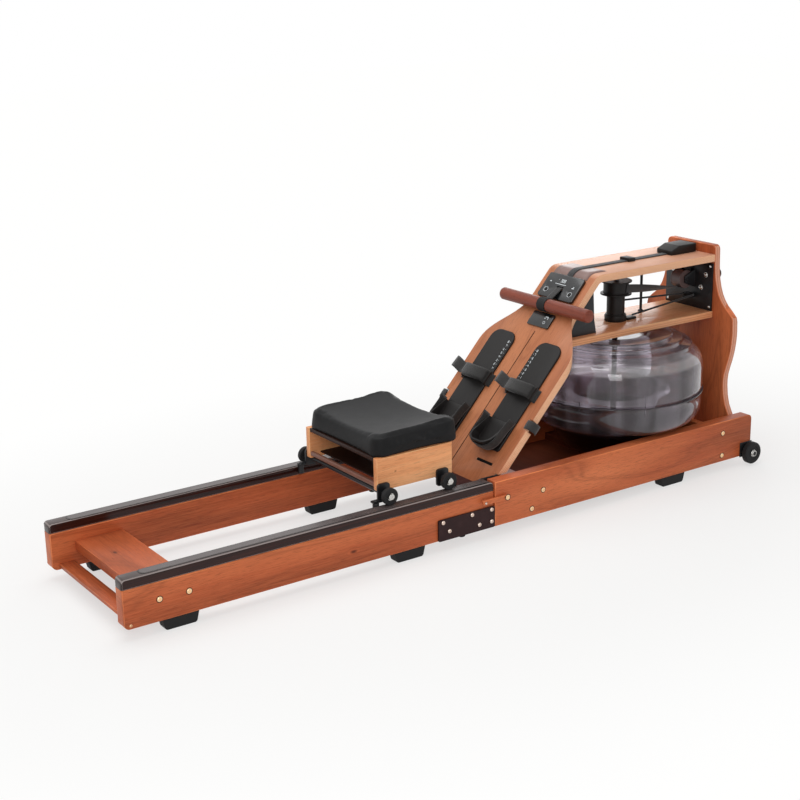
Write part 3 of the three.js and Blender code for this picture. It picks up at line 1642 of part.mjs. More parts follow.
const seat = new THREE.Group();
seat.name = 'seat';
place(seat, 'seat_cushion', seatCushion(), leather, [seatRear + cushionLength / 2, 0, cushionBottom]);
place(seat, 'seat_frame', seatFrame(), wood);
place(seat, 'seat_truck_rear', seatTruck(seatWheelXs[0], -1), blackSteel);
place(seat, 'seat_truck_front', seatTruck(seatWheelXs[1], 1), blackSteel);
sides.forEach(([side, name]) => {
  ['rear', 'front'].forEach((end, index) => {
    const middle = side * (seatWheelInner + seatWheelWidth / 2);
    place(seat, `seat_wheel_${end}_${name}`, seatWheel(), blackPlastic, [seatWheelXs[index], middle, seatWheelZ]);
  });
});

// Front frame with the tank and the drive
const frontFrame = new THREE.Group();
frontFrame.name = 'front_frame';
sides.forEach(([side, name]) => {
  place(frontFrame, `front_board_${name}`, frontBoard(side), wood);
  const latchMiddle = side * (frontOuter + 2 * fit + latchThickness / 2);
  place(frontFrame, `latch_${name}`, latchLever(), wood, [latchPivotX, latchMiddle, latchZ]);
  const wheelMiddle = side * (transportInner + transportWidth / 2);
  place(frontFrame, `transport_wheel_${name}`, transportWheel(), rubber, [transportX, wheelMiddle, transportZ]);
  place(frontFrame, `wheel_bracket_${name}`, wheelBracket(side), blackSteel);
  place(frontFrame, `hinge_ear_${name}`, hingeEar(side), blackSteel);
});
place(frontFrame, 'foot_brace', footBrace(), paleWood);
place(frontFrame, 'end_brace', endBrace(), paleWood);
place(frontFrame, 'tank_cradle', tankCradle(), paleWood);
place(frontFrame, 'footboard', footBoard(), wood);
place(frontFrame, 'shelf', shelf(), paleWood);
place(frontFrame, 'upright', upright(), wood);
place(frontFrame, 'gusset_bracket', gussetBracket(), blackSteel);
place(frontFrame, 'drive_plate', drivePlate(), plateSteel);
place(frontFrame, 'shaft_bearing', shaftBearing(), blackSteel);
place(frontFrame, 'drive_strap', driveStrap(), webbing);
place(frontFrame, 'bungee_cord', bungeeCord(), webbing);
place(frontFrame, 'fairlead', fairlead(), blackPlastic);
place(frontFrame, 'top_housing', topHousing(), blackPlastic);
place(frontFrame, 'strap_roller', strapRoller(), brownPlastic, [rollerX, 0, rollerZ]);
place(frontFrame, 'bungee_pulley', bungeePulley(), blackPlastic, pulleyCentre);
place(frontFrame, 'handle_grip', handleGrip(), handleWood, handleAxis.toArray());
place(frontFrame, 'handle_wrap', handleWrap(), rubber, handleAxis.toArray());
place(frontFrame, 'pull_strap', pullStrap(), webbing);

const tank = new THREE.Group();
tank.name = 'tank';
tank.position.x = tankX;
place(tank, 'tank_bowl', tankBowl(), clear);
place(tank, 'tank_dome', tankDome(), clear);
place(tank, 'water', water(), waterTint);
place(tank, 'impeller', impeller(), blackSteel);
place(tank, 'strap_spool', strapSpool(), blackPlastic, [0, 0, bungeeDrumBottom]);
frontFrame.add(tank);

// Everything that lies on the foot board, in the board's own slope
const incline = new THREE.Group();
incline.name = 'incline';
incline.position.set(slopeStart, 0, boardTop);
incline.rotation.y = -slope;
place(incline, 'console_panel', consolePanel(), panelGloss);
place(incline, 'lower_panel', lowerPanel(), panelGloss);
sides.forEach(([side, name]) => {
  const middle = (side * footPlateSpacing) / 2;
  place(incline, `footplate_${name}`, footPlate(), blackPlastic, [0, middle, 0]);
  place(incline, `heel_cup_${name}`, heelCup(), blackPlastic, [0, middle, 0]);
  place(incline, `toe_strap_${name}`, toeStrap(), webbing, [0, middle, 0]);
  place(incline, `button_${name}`, button(), panelGloss, [
    consoleUp + buttonUp, (side * buttonSpacing) / 2, fit + consoleThickness,
  ]);
});
frontFrame.add(incline);

machine.add(rearSection, seat, frontFrame);

export default machine;
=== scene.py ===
import json
import math

import bmesh
import bpy
from mathutils import Matrix, Vector

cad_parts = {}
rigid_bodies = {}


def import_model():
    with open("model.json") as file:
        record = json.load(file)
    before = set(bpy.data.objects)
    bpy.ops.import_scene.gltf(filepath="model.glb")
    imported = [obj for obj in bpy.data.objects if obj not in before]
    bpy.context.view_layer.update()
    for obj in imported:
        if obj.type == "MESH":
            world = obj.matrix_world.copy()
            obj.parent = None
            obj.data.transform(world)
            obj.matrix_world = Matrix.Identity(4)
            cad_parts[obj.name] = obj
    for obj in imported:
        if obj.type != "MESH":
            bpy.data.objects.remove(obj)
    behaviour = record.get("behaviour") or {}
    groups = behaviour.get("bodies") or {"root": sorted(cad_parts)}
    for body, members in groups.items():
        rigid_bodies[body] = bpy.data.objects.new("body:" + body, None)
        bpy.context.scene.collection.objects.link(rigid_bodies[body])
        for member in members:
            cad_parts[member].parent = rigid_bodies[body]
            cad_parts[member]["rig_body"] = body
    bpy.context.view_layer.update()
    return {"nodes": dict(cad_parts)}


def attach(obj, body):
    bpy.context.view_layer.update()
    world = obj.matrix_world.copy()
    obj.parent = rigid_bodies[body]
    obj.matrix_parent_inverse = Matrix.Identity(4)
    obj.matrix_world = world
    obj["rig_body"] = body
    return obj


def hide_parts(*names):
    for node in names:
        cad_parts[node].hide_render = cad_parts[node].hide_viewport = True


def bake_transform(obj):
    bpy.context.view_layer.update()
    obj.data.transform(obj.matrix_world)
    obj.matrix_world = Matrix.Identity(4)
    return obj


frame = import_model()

bpy.context.scene.view_settings.view_transform = "Standard"

# Camera: it stands behind the rear end of the rails, on the right side, and looks slightly
# down along the machine.
camera_heading = 0.60023
camera_dip = 0.296093
camera_roll = -0.018325
camera_place = (-2.3070, -3.2139, 1.5481)
camera_lens = 66.63
camera = bpy.data.objects.new("camera", bpy.data.cameras.new("camera"))
camera.data.lens = camera_lens
camera.data.sensor_width = 36
camera_turn = (Matrix.Rotation(-camera_heading, 4, "Z")
               @ Matrix.Rotation(math.radians(90) - camera_dip, 4, "X")
               @ Matrix.Rotation(camera_roll, 4, "Z"))
camera.matrix_world = Matrix.Translation(camera_place) @ camera_turn
bpy.context.collection.objects.link(camera)
bpy.context.scene.camera = camera

# Studio: a pale floor under a white surround, with a wide soft lamp overhead, a tall one in
# front on the right and a weak one behind on the left.
floor_half = 14.0
floor_colour = (0.90, 0.895, 0.885, 1)
floor_lift = 0.60
fade_start, fade_end = 0.55, 1.3
surround_light = 0.50


def feed(tree, made, inputs):
    """Sets a node's inputs, each from a link or from a plain value."""
    for key, value in inputs.items():
        if isinstance(value, bpy.types.NodeSocket):
            tree.links.new(value, made.inputs[key])
        else:
            made.inputs[key].default_value = value


def add_node(tree, kind, inputs, **settings):
    made = tree.nodes.new("ShaderNode" + kind)
    for key, value in settings.items():
        setattr(made, key, value)
    feed(tree, made, inputs)
    return made


def maths(tree, operation, first, second=0.0, third=0.0, clamp=False):
    made = add_node(tree, "Math", {0: first, 1: second, 2: third}, operation=operation, use_clamp=clamp)
    return made.outputs[0]


def arrow_maths(tree, operation, first, second=(0, 0, 0)):
    """Maths on a place or direction; a length or a dot product comes out as one number."""
    made = add_node(tree, "VectorMath", {0: first, 1: second}, operation=operation)
    return made.outputs["Value" if operation in ("LENGTH", "DOT_PRODUCT") else "Vector"]


def own_place(tree):
    return add_node(tree, "TexCoord", {}).outputs["Object"]


def shown_rays(tree):
    rays = add_node(tree, "LightPath", {}).outputs
    straight = maths(tree, "MAXIMUM", rays["Is Camera Ray"], rays["Is Glossy Ray"])
    return maths(tree, "MAXIMUM", straight, rays["Is Transmission Ray"])


floor_mesh = bpy.data.meshes.new("floor")
floor_mesh.from_pydata(
    [(x * floor_half, y * floor_half, 0) for x, y in ((-1, -1), (1, -1), (1, 1), (-1, 1))],
    [], [(0, 1, 2, 3)])
floor = bpy.data.objects.new("floor", floor_mesh)
bpy.context.collection.objects.link(floor)
floor_paint = bpy.data.materials.new("floor_paint")
floor_paint.use_nodes = True
tree = floor_paint.node_tree
surface = tree.nodes["Principled BSDF"]
feed(tree, surface, {"Base Color": floor_colour, "Roughness": 0.9, "Specular IOR Level": 0.1})
away = arrow_maths(tree, "LENGTH", arrow_maths(tree, "MULTIPLY", own_place(tree), (0.55, 0.85, 0.0)))
fade = add_node(tree, "MapRange", {0: away, 1: fade_start, 2: fade_end, 3: floor_lift, 4: 1.0},
                interpolation_type="SMOOTHSTEP").outputs[0]
white = add_node(tree, "Emission", {"Color": (1, 1, 0.995, 1), "Strength": 1.0}).outputs[0]
both = add_node(tree, "MixShader", {
    0: maths(tree, "MULTIPLY", shown_rays(tree), fade), 1: surface.outputs[0], 2: white})
feed(tree, tree.nodes["Material Output"], {"Surface": both.outputs[0]})
floor_mesh.materials.append(floor_paint)

surround = bpy.data.worlds.new("surround")
bpy.context.scene.world = surround
surround.use_nodes = True
tree = surround.node_tree
strength = maths(tree, "MULTIPLY_ADD", shown_rays(tree), 1 - surround_light, surround_light)
feed(tree, tree.nodes["Background"], {"Strength": strength, "Color": (1, 1, 1, 1)})


def softbox(name, place, target, size, watts):
    lamp = bpy.data.objects.new(name, bpy.data.lights.new(name, "AREA"))
    lamp.data.shape = "RECTANGLE"
    lamp.data.size, lamp.data.size_y = size
    lamp.data.energy = watts
    lamp.location = place
    lamp.rotation_euler = (Vector(target) - Vector(place)).to_track_quat("-Z", "Y").to_euler()
    bpy.context.collection.objects.link(lamp)


softbox("lamp_over", (-0.3, 0.5, 3.0), (0.0, 0.0, 0.2), (3.2, 2.4), 46)
softbox("lamp_front", (-3.0, -4.2, 2.7), (0.1, 0.0, 0.25), (1.7, 3.1), 62)
softbox("lamp_behind", (2.6, 2.4, 1.6), (0.4, 0.0, 0.4), (0.8, 2.0), 10)


# Rear rails: two planed hardwood boards on rubber feet, screwed through to a cross board and
# a thin stretcher at the rear end. Oiled and lacquered, with the grain along each board.
mm = 0.001
rear_end = 1062.5


def at(x, y, z):
    """Place given in mm from the rails' rear end, the middle of the machine and the floor."""
    return Vector((x * mm - rear_end * mm, y * mm, z * mm))


def tint(red, green, blue):
    return (*((part / 255 / 12.92) if part <= 10 else ((part / 255 + 0.055) / 1.055) ** 2.4
              for part in (red, green, blue)), 1)


def tone(colour, times, plus=0.0):
    """The same hue, darker or lighter."""
    return tuple(min(1, part * times + plus) for part in colour[:3]) + (1,)


def new_finish(name):
    made = bpy.data.materials.new(name)
    made.use_nodes = True
    return made, made.node_tree, made.node_tree.nodes["Principled BSDF"]


def facing(tree):
    return add_node(tree, "TexCoord", {}).outputs["Normal"]


def split(tree, arrow):
    return add_node(tree, "SeparateXYZ", {0: arrow}).outputs


def mix_colours(tree, share, first, second, mode="MIX"):
    made = add_node(tree, "Mix", {0: share, 6: first, 7: second}, data_type="RGBA", blend_type=mode)
    return made.outputs[2]


def ramp(tree, value, stops):
    made = add_node(tree, "ValToRGB", {0: value})
    steps = made.color_ramp.elements
    while len(steps) < len(stops):
        steps.new(0.5)
    for step, (place, colour) in zip(steps, stops):
        step.position = place
        step.color = colour if hasattr(colour, "__len__") else (colour, colour, colour, 1)
    return made.outputs[0]


def bumpy(tree, strength, distance, height):
    made = add_node(tree, "Bump", {"Strength": strength, "Distance": distance, "Height": height})
    return made.outputs[0]


def largest(tree, parts):
    return maths(tree, "MAXIMUM", maths(tree, "MAXIMUM", parts[0], parts[1]), parts[2])


board_slope = math.radians(47.5)
grain_turns = {
    "x": (0, 0, 0), "y": (0, 0, math.radians(-90)), "z": (0, math.radians(90), 0),
    "slope": (0, board_slope, 0)}


def noise(tree, place, scale, detail=2.0, rough=0.5, warp=0.0):
    stretched = add_node(tree, "Mapping", {"Vector": place, "Scale": scale})
    made = add_node(tree, "TexNoise", {
        "Vector": stretched.outputs[0], "Scale": 1.0, "Detail": detail, "Roughness": rough,
        "Distortion": warp,
    })
    return made.outputs["Fac"]


def wood(name, grain, seed, dark, middle, light, rough=0.42, coat=0.04, knots=(), lines=34.0,
         painted_edge_light=True):
    """Planed board: growth rings, fibres and pores along its grain, knots, and painted highlights on its
    edges.
    """
    made, tree, surface = new_finish(name)
    spot = own_place(tree)
    turned = add_node(tree, "Mapping", {
        "Vector": spot, "Rotation": grain_turns[grain], "Location": (seed * 1.7, seed * 0.93, seed * 0.41),
    }).outputs[0]
    figure = noise(tree, turned, (1.1, 8.0, 8.0), 1.5, 0.45)
    dents = 0.0
    for middle_of_knot, sharpness in knots:
        away = arrow_maths(tree, "SUBTRACT", spot, middle_of_knot)
        away = arrow_maths(tree, "LENGTH", arrow_maths(tree, "MULTIPLY", away, sharpness))
        near = maths(tree, "SUBTRACT", 1.0, away, clamp=True)
        dents = maths(tree, "ADD", dents, maths(tree, "MULTIPLY", near, near))
    if knots:
        figure = maths(tree, "ADD", figure, maths(tree, "MULTIPLY", dents, 0.35))
    rings = maths(tree, "SINE", maths(tree, "MULTIPLY", figure, lines))
    rings = ramp(tree, rings, [(0.0, 0.0), (0.62, 0.25), (0.92, 1.0), (1.0, 0.35)])
    broad = noise(tree, turned, (0.8, 5.0, 5.0), 3.0)
    fibres = noise(tree, turned, (9.0, 320.0, 320.0), 3.0, 0.6)
    pores = ramp(tree, noise(tree, turned, (38.0, 1300.0, 1300.0), 1.0), [(0.56, 0.0), (0.74, 1.0)])
    body = ramp(tree, broad, [(0.3, dark), (0.48, middle), (0.68, light)])
    body = mix_colours(tree, maths(tree, "MULTIPLY", rings, 0.38), body, dark)
    body = mix_colours(tree, ramp(tree, fibres, [(0.3, 0.0), (0.75, 0.4)]), body, light)
    deep = tone(dark, 0.42)
    body = mix_colours(tree, maths(tree, "MULTIPLY", pores, 0.5), body, deep)
    if knots:
        body = mix_colours(tree, ramp(tree, dents, [(0.3, 0.0), (0.75, 0.85)]), body, deep)
    # Painted highlight: eased edges, where the normal leans off the axes, turn paler in patches.
    if painted_edge_light:
        squareness = largest(tree, split(tree, arrow_maths(tree, "ABSOLUTE", facing(tree))))
        patches = ramp(tree, noise(tree, turned, (14, 40, 40), 2.0), [(0.35, 0.2), (0.65, 1.0)])
        edge = maths(tree, "MULTIPLY", ramp(tree, squareness, [(0.86, 0.7), (0.97, 0.0)]), patches)
        body = mix_colours(tree, edge, body, tone(light, 1.5))
    feed(tree, surface, {
        "Base Color": body, "Roughness": maths(tree, "MULTIPLY_ADD", fibres, 0.22, rough - 0.11),
        "Specular IOR Level": 0.2, "Coat Weight": coat, "Coat Roughness": 0.18,
        "Normal": bumpy(tree, 0.22, 0.0004, maths(tree, "SUBTRACT", fibres, pores))})
    return made


def cherry(name, grain, seed, **more):
    return wood(name, grain, seed, tint(112, 49, 24), tint(183, 88, 50), tint(224, 127, 79), **more)


def link_piece(piece, body, slot, *nodes):
    """Puts a piece on the body it rides on and hides the CAD nodes it stands for. The slot is not used."""
    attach(piece, body)
    if nodes:
        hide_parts(*nodes)


def settle(piece):
    """Applies a piece's modifiers to its mesh."""
    bpy.context.view_layer.update()
    whole = piece.evaluated_get(bpy.context.evaluated_depsgraph_get())
    made = bpy.data.meshes.new_from_object(whole)
    piece.modifiers.clear()
    piece.data = made
    return piece


def smooth(piece):
    for polygon in piece.data.polygons:
        polygon.use_smooth = True
    return piece


def ease_edges(piece, width, steps=2):
    smooth(piece)
    if width:
        bevel = piece.modifiers.new("eased", "BEVEL")
        bevel.width = width * mm
        bevel.segments = steps
        bevel.limit_method = "ANGLE"
        bevel.angle_limit = math.radians(28)
        bevel.harden_normals = True
    return settle(piece)


def round_ends(shape, corner, top, foot):
    """Rounds the corners of a long piece's end faces, with a radius in mm for its upright
    corners, one for the top edges and one for the sloping corners at the foot."""
    places = [vert.co.x for vert in shape.verts]
    highest = max(vert.co.z for vert in shape.verts)
    upright, level = 2, 1
    for way, radius, reach in ((upright, corner, 0.3), (level, top, 0.3), (level, foot, 40)):
        if not radius:
            continue
        chosen = []
        for edge in shape.edges:
            ends = [vert.co for vert in edge.verts]
            run = ends[1] - ends[0]
            far = max(min(end.x - min(places), max(places) - end.x) for end in ends)
            short = run.length < 12 * mm or abs(run[way]) < 0.9 * run.length
            if far > reach * mm or short or not edge.is_convex:
                continue
            at_top = highest - ends[0].z < 4 * mm
            if way == upright or at_top == (radius == top):
                chosen.append(edge)
        if chosen:
            bmesh.ops.bevel(shape, geom=chosen, offset=radius * mm, segments=5, profile=0.5, affect="EDGES")


def eased_copy(node, name, finish, slot, width=0.8, keep_above=None, steps=2, end_round=None):
    """A copy of a CAD node's mesh with eased edges, which stands for the node."""
    source = frame["nodes"][node]
    piece = bpy.data.objects.new(name, source.data.copy())
    bpy.context.collection.objects.link(piece)
    shape = bmesh.new()
    shape.from_mesh(piece.data)
    bmesh.ops.remove_doubles(shape, verts=shape.verts, dist=0.00002)
    if keep_above is not None:
        everything = shape.verts[:] + shape.edges[:] + shape.faces[:]
        bmesh.ops.bisect_plane(shape, geom=everything, plane_co=(0, 0, keep_above * mm),
                               plane_no=(0, 0, 1), clear_inner=True)
        bmesh.ops.holes_fill(shape, edges=[edge for edge in shape.edges if edge.is_boundary])
    bmesh.ops.dissolve_limit(
        shape, angle_limit=math.radians(0.6), verts=shape.verts, edges=shape.edges)
    bmesh.ops.recalc_face_normals(shape, faces=shape.faces)
    if end_round:
        round_ends(shape, *end_round)
    shape.to_mesh(piece.data)
    shape.free()
    piece.data.materials.clear()
    piece.data.materials.append(finish)
    ease_edges(piece, width, steps)
    link_piece(piece, source["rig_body"], slot, node)


def turn_faces_out(piece):
    shape = bmesh.new()
    shape.from_mesh(piece.data)
    bmesh.ops.recalc_face_normals(shape, faces=shape.faces)
    shape.to_mesh(piece.data)
    shape.free()
    return piece


def make_piece(name, points, faces, finish):
    mesh = bpy.data.meshes.new(name)
    mesh.from_pydata([tuple(point) for point in points], [], faces)
    mesh.materials.append(finish)
    piece = bpy.data.objects.new(name, mesh)
    bpy.context.collection.objects.link(piece)
    return piece


def plain(name, colour, rough, metal=0.0, grit=900.0, depth=0.15, fleck=0.25, coat=0.0, specular=0.5,
          sheen=0.0, scuff=0.12):
    """A moulded, painted or rubber finish: fine texture, uneven gloss and faint scuffs."""
    made, tree, surface = new_finish(name)
    spot = own_place(tree)
    grain = noise(tree, spot, (grit, grit, grit), 3.0, 0.6)
    cloud = noise(tree, spot, (26, 26, 26), 4.0, 0.6)
    scratch = ramp(tree, noise(tree, spot, (60, 900, 240), 2.0, 0.7, 0.4), [(0.62, 0.0), (0.72, 1.0)])
    lighter = tone(colour, 1.6, 0.012)
    body = ramp(tree, cloud, [(0.3, tone(colour, 0.72)), (0.55, colour), (0.8, lighter)])
    body = mix_colours(tree, fleck, colour, body)
    body = mix_colours(tree, maths(tree, "MULTIPLY", scratch, scuff), body, lighter)
    uneven = maths(tree, "ADD", cloud, maths(tree, "MULTIPLY", scratch, 0.5))
    feed(tree, surface, {
        "Base Color": body, "Roughness": maths(tree, "MULTIPLY_ADD", uneven, 0.16, max(0.02, rough - 0.08)),
        "Metallic": metal, "Specular IOR Level": specular, "Coat Weight": coat, "Coat Roughness": 0.1,
        "Sheen Weight": sheen, "Normal": bumpy(tree, depth, 0.0002, grain)})
    return made


rubber = plain("rubber", tint(26, 26, 27), 0.72, grit=1400, depth=0.35, specular=0.3)
brass = plain("brass", tint(246, 206, 160), 0.26, metal=0.6, grit=500, depth=0.05, fleck=0.4)
# Painted shadow: the dark ring laid under each bolt head.
bolt_shadow_paint = plain("bolt_shadow_paint", tint(58, 26, 16), 0.7, grit=700, depth=0.1, specular=0.2)
shoe_half, shoe_flare, shoe_height, shoe_grow = 41.0, 7.7, 30.0, 0.6


def plate(name, outline, span, place, finish, ease, steps):
    """Plate between two levels of one outline, with place(a, b, level) putting each point."""
    count = len(outline)
    points = [place(a, b, level) for level in span for a, b in outline]
    faces = [tuple(range(count)), tuple(range(2 * count - 1, count - 1, -1))]
    faces += [(i, (i + 1) % count, (i + 1) % count + count, i + count) for i in range(count)]
    return ease_edges(turn_faces_out(make_piece(name, points, faces, finish)), ease, steps)


def upright_plate(name, outline, span, finish, ease, steps=2):
    """Plate from its side outline, drawn as (x, z), and its span across the machine."""
    return plate(name, outline, span, lambda x, z, y: at(x, y, z), finish, ease, steps)


def rounded(corners, steps=6):
    """Outline with its corners rounded; each corner is (a, b) or (a, b, radius)."""
    out = []
    count = len(corners)
    for index, corner in enumerate(corners):
        here = Vector(corner[:2])
        radius = corner[2] if len(corner) > 2 else 0
        if not radius:
            out.append(tuple(here))
            continue
        before = (Vector(corners[index - 1][:2]) - here).normalized()
        after = (Vector(corners[(index + 1) % count][:2]) - here).normalized()
        half = before.angle(after) / 2
        centre = here + (before + after).normalized() * (radius / math.sin(half))
        start = here + before * (radius / math.tan(half)) - centre
        end = here + after * (radius / math.tan(half)) - centre
        for step in range(steps + 1):
            out.append(tuple(centre + start.normalized().slerp(end.normalized(), step / steps) * radius))
    return out


def shoe(name, middle, side, outer, body):
    """Rubber foot under a board, a little larger than the solid inside it."""
    half = shoe_half + shoe_grow
    outline = rounded([
        (middle - half, 0, 8), (middle + half, 0, 8),
        (middle + half + shoe_flare, shoe_height), (middle - half - shoe_flare, shoe_height)])
    span = sorted((side * (outer - 5 + shoe_grow), side * (outer - 35 - shoe_grow)))
    link_piece(upright_plate(name, outline, span, rubber, 1.5, 3), body, "rubber")


def turned(name, profile, centre, finish, axis="y", segments=64, ease=0.6, closed=True):
    """A turned piece from its (radius, height) profile about an axis through centre. A profile
    that starts off the axis is joined to its own start, unless closed is off."""
    points, faces, rows = [], [], []
    for radius, height in profile:
        count = segments if radius else 1
        rows.append(range(len(points), len(points) + count))
        turns = [2 * math.pi * i / count for i in range(count)]
        points += [(radius * math.cos(turn), radius * math.sin(turn), height) for turn in turns]
    if closed and len(rows[0]) > 1:
        rows.append(rows[0])
    for low, high in zip(rows, rows[1:]):
        for i in range(segments):
            j = (i + 1) % segments
            quad = (low[i % len(low)], low[j % len(low)], high[j % len(high)], high[i % len(high)])
            face = tuple(dict.fromkeys(quad))
            if len(face) > 2:
                faces.append(face)
    turn = axis if isinstance(axis, Matrix) else {
        "z": Matrix.Identity(3), "y": Matrix.Rotation(math.radians(-90), 3, "X"),
        "x": Matrix.Rotation(math.radians(90), 3, "Y")}[axis]
    middle = at(*centre)
    piece = make_piece(name, [middle + turn @ (Vector(point) * mm) for point in points], faces, finish)
    return ease_edges(turn_faces_out(piece), ease)


sides = ((-1, "right"), (1, "left"))


def outward_turn(side):
    """Turns a z axis to point out of the right or left side of the machine."""
    return Matrix.Rotation(math.radians(-90 * side), 3, "X")


def bolt(name, x, y, z, side, finish, body, radius=7.2, height=2.6):
    """Domed bolt head with a round socket, proud of a board's outer face, over a dark ring of painted shadow.
    """
    profile = [(0, height * 0.35), (radius * 0.34, height * 0.35), (radius * 0.42, height * 0.98),
               (radius * 0.72, height * 0.9), (radius * 0.96, height * 0.45), (radius, 0), (0, 0)]
    turn = outward_turn(side)
    shadow_ring = [(radius * 0.9, 0), (radius * 1.22, 0), (radius * 1.22, 0.35), (radius * 0.9, 0.35)]
    link_piece(turned(name + "_shadow_ring", shadow_ring, (x, y, z), bolt_shadow_paint, turn, 28, 0.0), body, "joint_steel")
    link_piece(turned(name, profile, (x, y, z), finish, turn, 28, 0.25), body, "joint_steel")


rail_face = 238
board_foot = 30.05
fold_pad = [(0, 17.6), (8.4, 17.6), (10.4, 19.6), (10.4, 30), (0, 30)]
rail_knots = {"right": (at(640, -rail_face, 70), (34, 12, 75)),
              "left": (at(420, rail_face, 96), (30, 12, 70))}
for side, hand in sides:
    board = cherry("cherry_rail_" + hand, "x", 2.3 + side, knots=[rail_knots[hand]])
    eased_copy("rail_" + hand, "rail_board_" + hand, board, "board_wood", 0.9, keep_above=board_foot,
               end_round=(6, 0, 9))
    for place, middle in (("rear", 149), ("middle", 820)):
        shoe(f"rail_shoe_{place}_{hand}", middle, side, rail_face, "rear_rails")
    link_piece(turned("fold_pad_" + hand, fold_pad, (1000, side * 218.5, 0), rubber, "z", 32, 0.4),
               "rear_rails", "rubber")
    for index, x in enumerate((94, 172)):
        bolt(f"rail_bolt_{index}_{hand}", x, side * rail_face, 87, side, brass, "rear_rails")
    bolt("rail_pin_" + hand, 17, side * (rail_face - 1.6), 40, side, brass, "rear_rails", 4.2)
cross_knots = [(at(116, 62, 100), (60, 34, 20)), (at(150, -96, 100), (90, 60, 30))]
eased_copy("rear_cross_board", "cross_board", cherry("cherry_cross_board", "y", 5.1, knots=cross_knots),
           "board_wood", 1.2)
eased_copy("rear_stretcher", "thin_stretcher", cherry("cherry_stretcher", "y", 7.7), "board_wood", 1.2)


# Running caps: glossy dark extrusions on top of the rails, rounded at the rear end, each with
# a grey-brown running strip let into its inner half and a painted highlight line along its edges.
cap_gloss, tree, surface = new_finish("cap_gloss")
streaks = noise(tree, own_place(tree), (6, 240, 240), 3.0, 0.6)
smears = noise(tree, own_place(tree), (9, 30, 30), 4.0, 0.6)
parts = split(tree, arrow_maths(tree, "ABSOLUTE", facing(tree)))
on_top = maths(tree, "GREATER_THAN", parts[2], 0.9)
upper_edge = maths(tree, "GREATER_THAN", parts[2], 0.2)
body = ramp(tree, streaks, [(0.35, tint(32, 11, 8)), (0.7, tint(54, 23, 17))])
# Top faces painted lighter grey-brown than the sides: partly the cap's own two-tone, partly painted sheen.
top_tone_and_sheen = ramp(tree, smears, [(0.3, tint(70, 58, 56)), (0.7, tint(92, 80, 78))])
body = mix_colours(tree, on_top, body, top_tone_and_sheen)
# Painted highlight: a pale line on the cap's upper eased edges.
painted_edge_light = maths(tree, "MULTIPLY", upper_edge, ramp(tree, largest(tree, parts), [(0.74, 0.6), (0.93, 0.0)]))
feed(tree, surface, {
    "Base Color": mix_colours(tree, painted_edge_light, body, tint(188, 176, 172)),
    "Roughness": maths(tree, "MULTIPLY_ADD", smears, 0.16, 0.12), "Specular IOR Level": 0.26,
    "Coat Weight": 0.08, "Coat Roughness": 0.08, "Normal": bumpy(tree, 0.05, 0.0002, streaks)})
strip_brown = plain("strip_brown", tint(84, 74, 73), 0.24, grit=700, depth=0.06, fleck=0.5, scuff=0.3)
groove_shade_margin = plain("groove_shade_margin", tint(20, 13, 12), 0.3, depth=0.1, fleck=0.3)
strip_start, strip_end, strip_inner, strip_outer, cap_top = 57.0, 1072.0, 202, 229, 158.0
for side, hand in sides:
    eased_copy("cap_" + hand, "running_cap_" + hand, cap_gloss, "cap_gloss", 0.5, end_round=(6, 4, 0))
    # The black margin plate round each strip is painted shade, standing in for the shaded groove there.
    for name, grow, low, high, finish in (
            ("strip_shade_margin_", 1.6, cap_top - 0.4, cap_top + 1.0, groove_shade_margin),
            ("running_strip_", -1.0, cap_top + 0.6, cap_top + 1.5, strip_brown)):
        near, far, rear = side * (strip_inner - grow), side * (strip_outer + grow), strip_start - grow
        plan = rounded([(rear, near, 10), (strip_end, near, 2), (strip_end, far, 2), (rear, far, 10)])
        link_piece(plate(name + hand, plan, (low, high), at, finish, 0.3, 2), "rear_rails", "cap_gloss")


# Joint: dark maroon steel plates screwed over the outer faces of the rails at the fold, and a
# flat steel plate between the rails.
joint_steel = plain("joint_steel", tint(44, 19, 20), 0.36, metal=0.2, grit=700, depth=0.12, fleck=0.5,
                    specular=0.25)
black_steel = plain("black_steel", tint(30, 30, 32), 0.4, metal=0.35, grit=800, depth=0.18, fleck=0.4)
screw_steel = plain("screw_steel", tint(226, 206, 192), 0.28, metal=0.75, grit=400, depth=0.05, fleck=0.4)
plate_rear, plate_length, plate_foot, plate_height, plate_inner, plate_outer = 906, 190, 30, 61, 238.3, 243.3
screw_shares = ((0.08, 0.86), (0.19, 0.4), (0.59, 0.86), (0.72, 0.3), (0.94, 0.86), (0.94, 0.3))


def oblong(a, b, half_a, half_b, corner=0, steps=6):
    """Outline of an oblong about its middle."""
    return rounded([(a - half_a, b - half_b, corner), (a + half_a, b - half_b, corner),
                    (a + half_a, b + half_b, corner), (a - half_a, b + half_b, corner)], steps)


for side, hand in sides:
    outline = oblong(plate_rear + plate_length / 2, plate_foot + plate_height / 2, plate_length / 2,
                     plate_height / 2, 5)
    span = sorted((side * plate_inner, side * plate_outer))
    link_piece(upright_plate("joint_plate_outer_" + hand, outline, span, joint_steel, 0.6),
               "rear_rails", "joint_steel", "splice_plate_" + hand)
    for index, (along, up) in enumerate(screw_shares):
        bolt(f"joint_screw_{index}_{hand}", plate_rear + plate_length * along, side * (plate_outer - 0.1),
             plate_foot + plate_height * up, side, screw_steel, "rear_rails", 6.0, 3.2)
    eased_copy("hinge_ear_" + hand, "hinge_" + hand, black_steel, "black_steel", 0.4)
plate_paint = plain("plate_paint", tint(62, 30, 27), 0.62, grit=700, depth=0.12, fleck=0.5, specular=0.08)
eased_copy("joint_plate", "cross_plate", plate_paint, "joint_steel", 0.5)


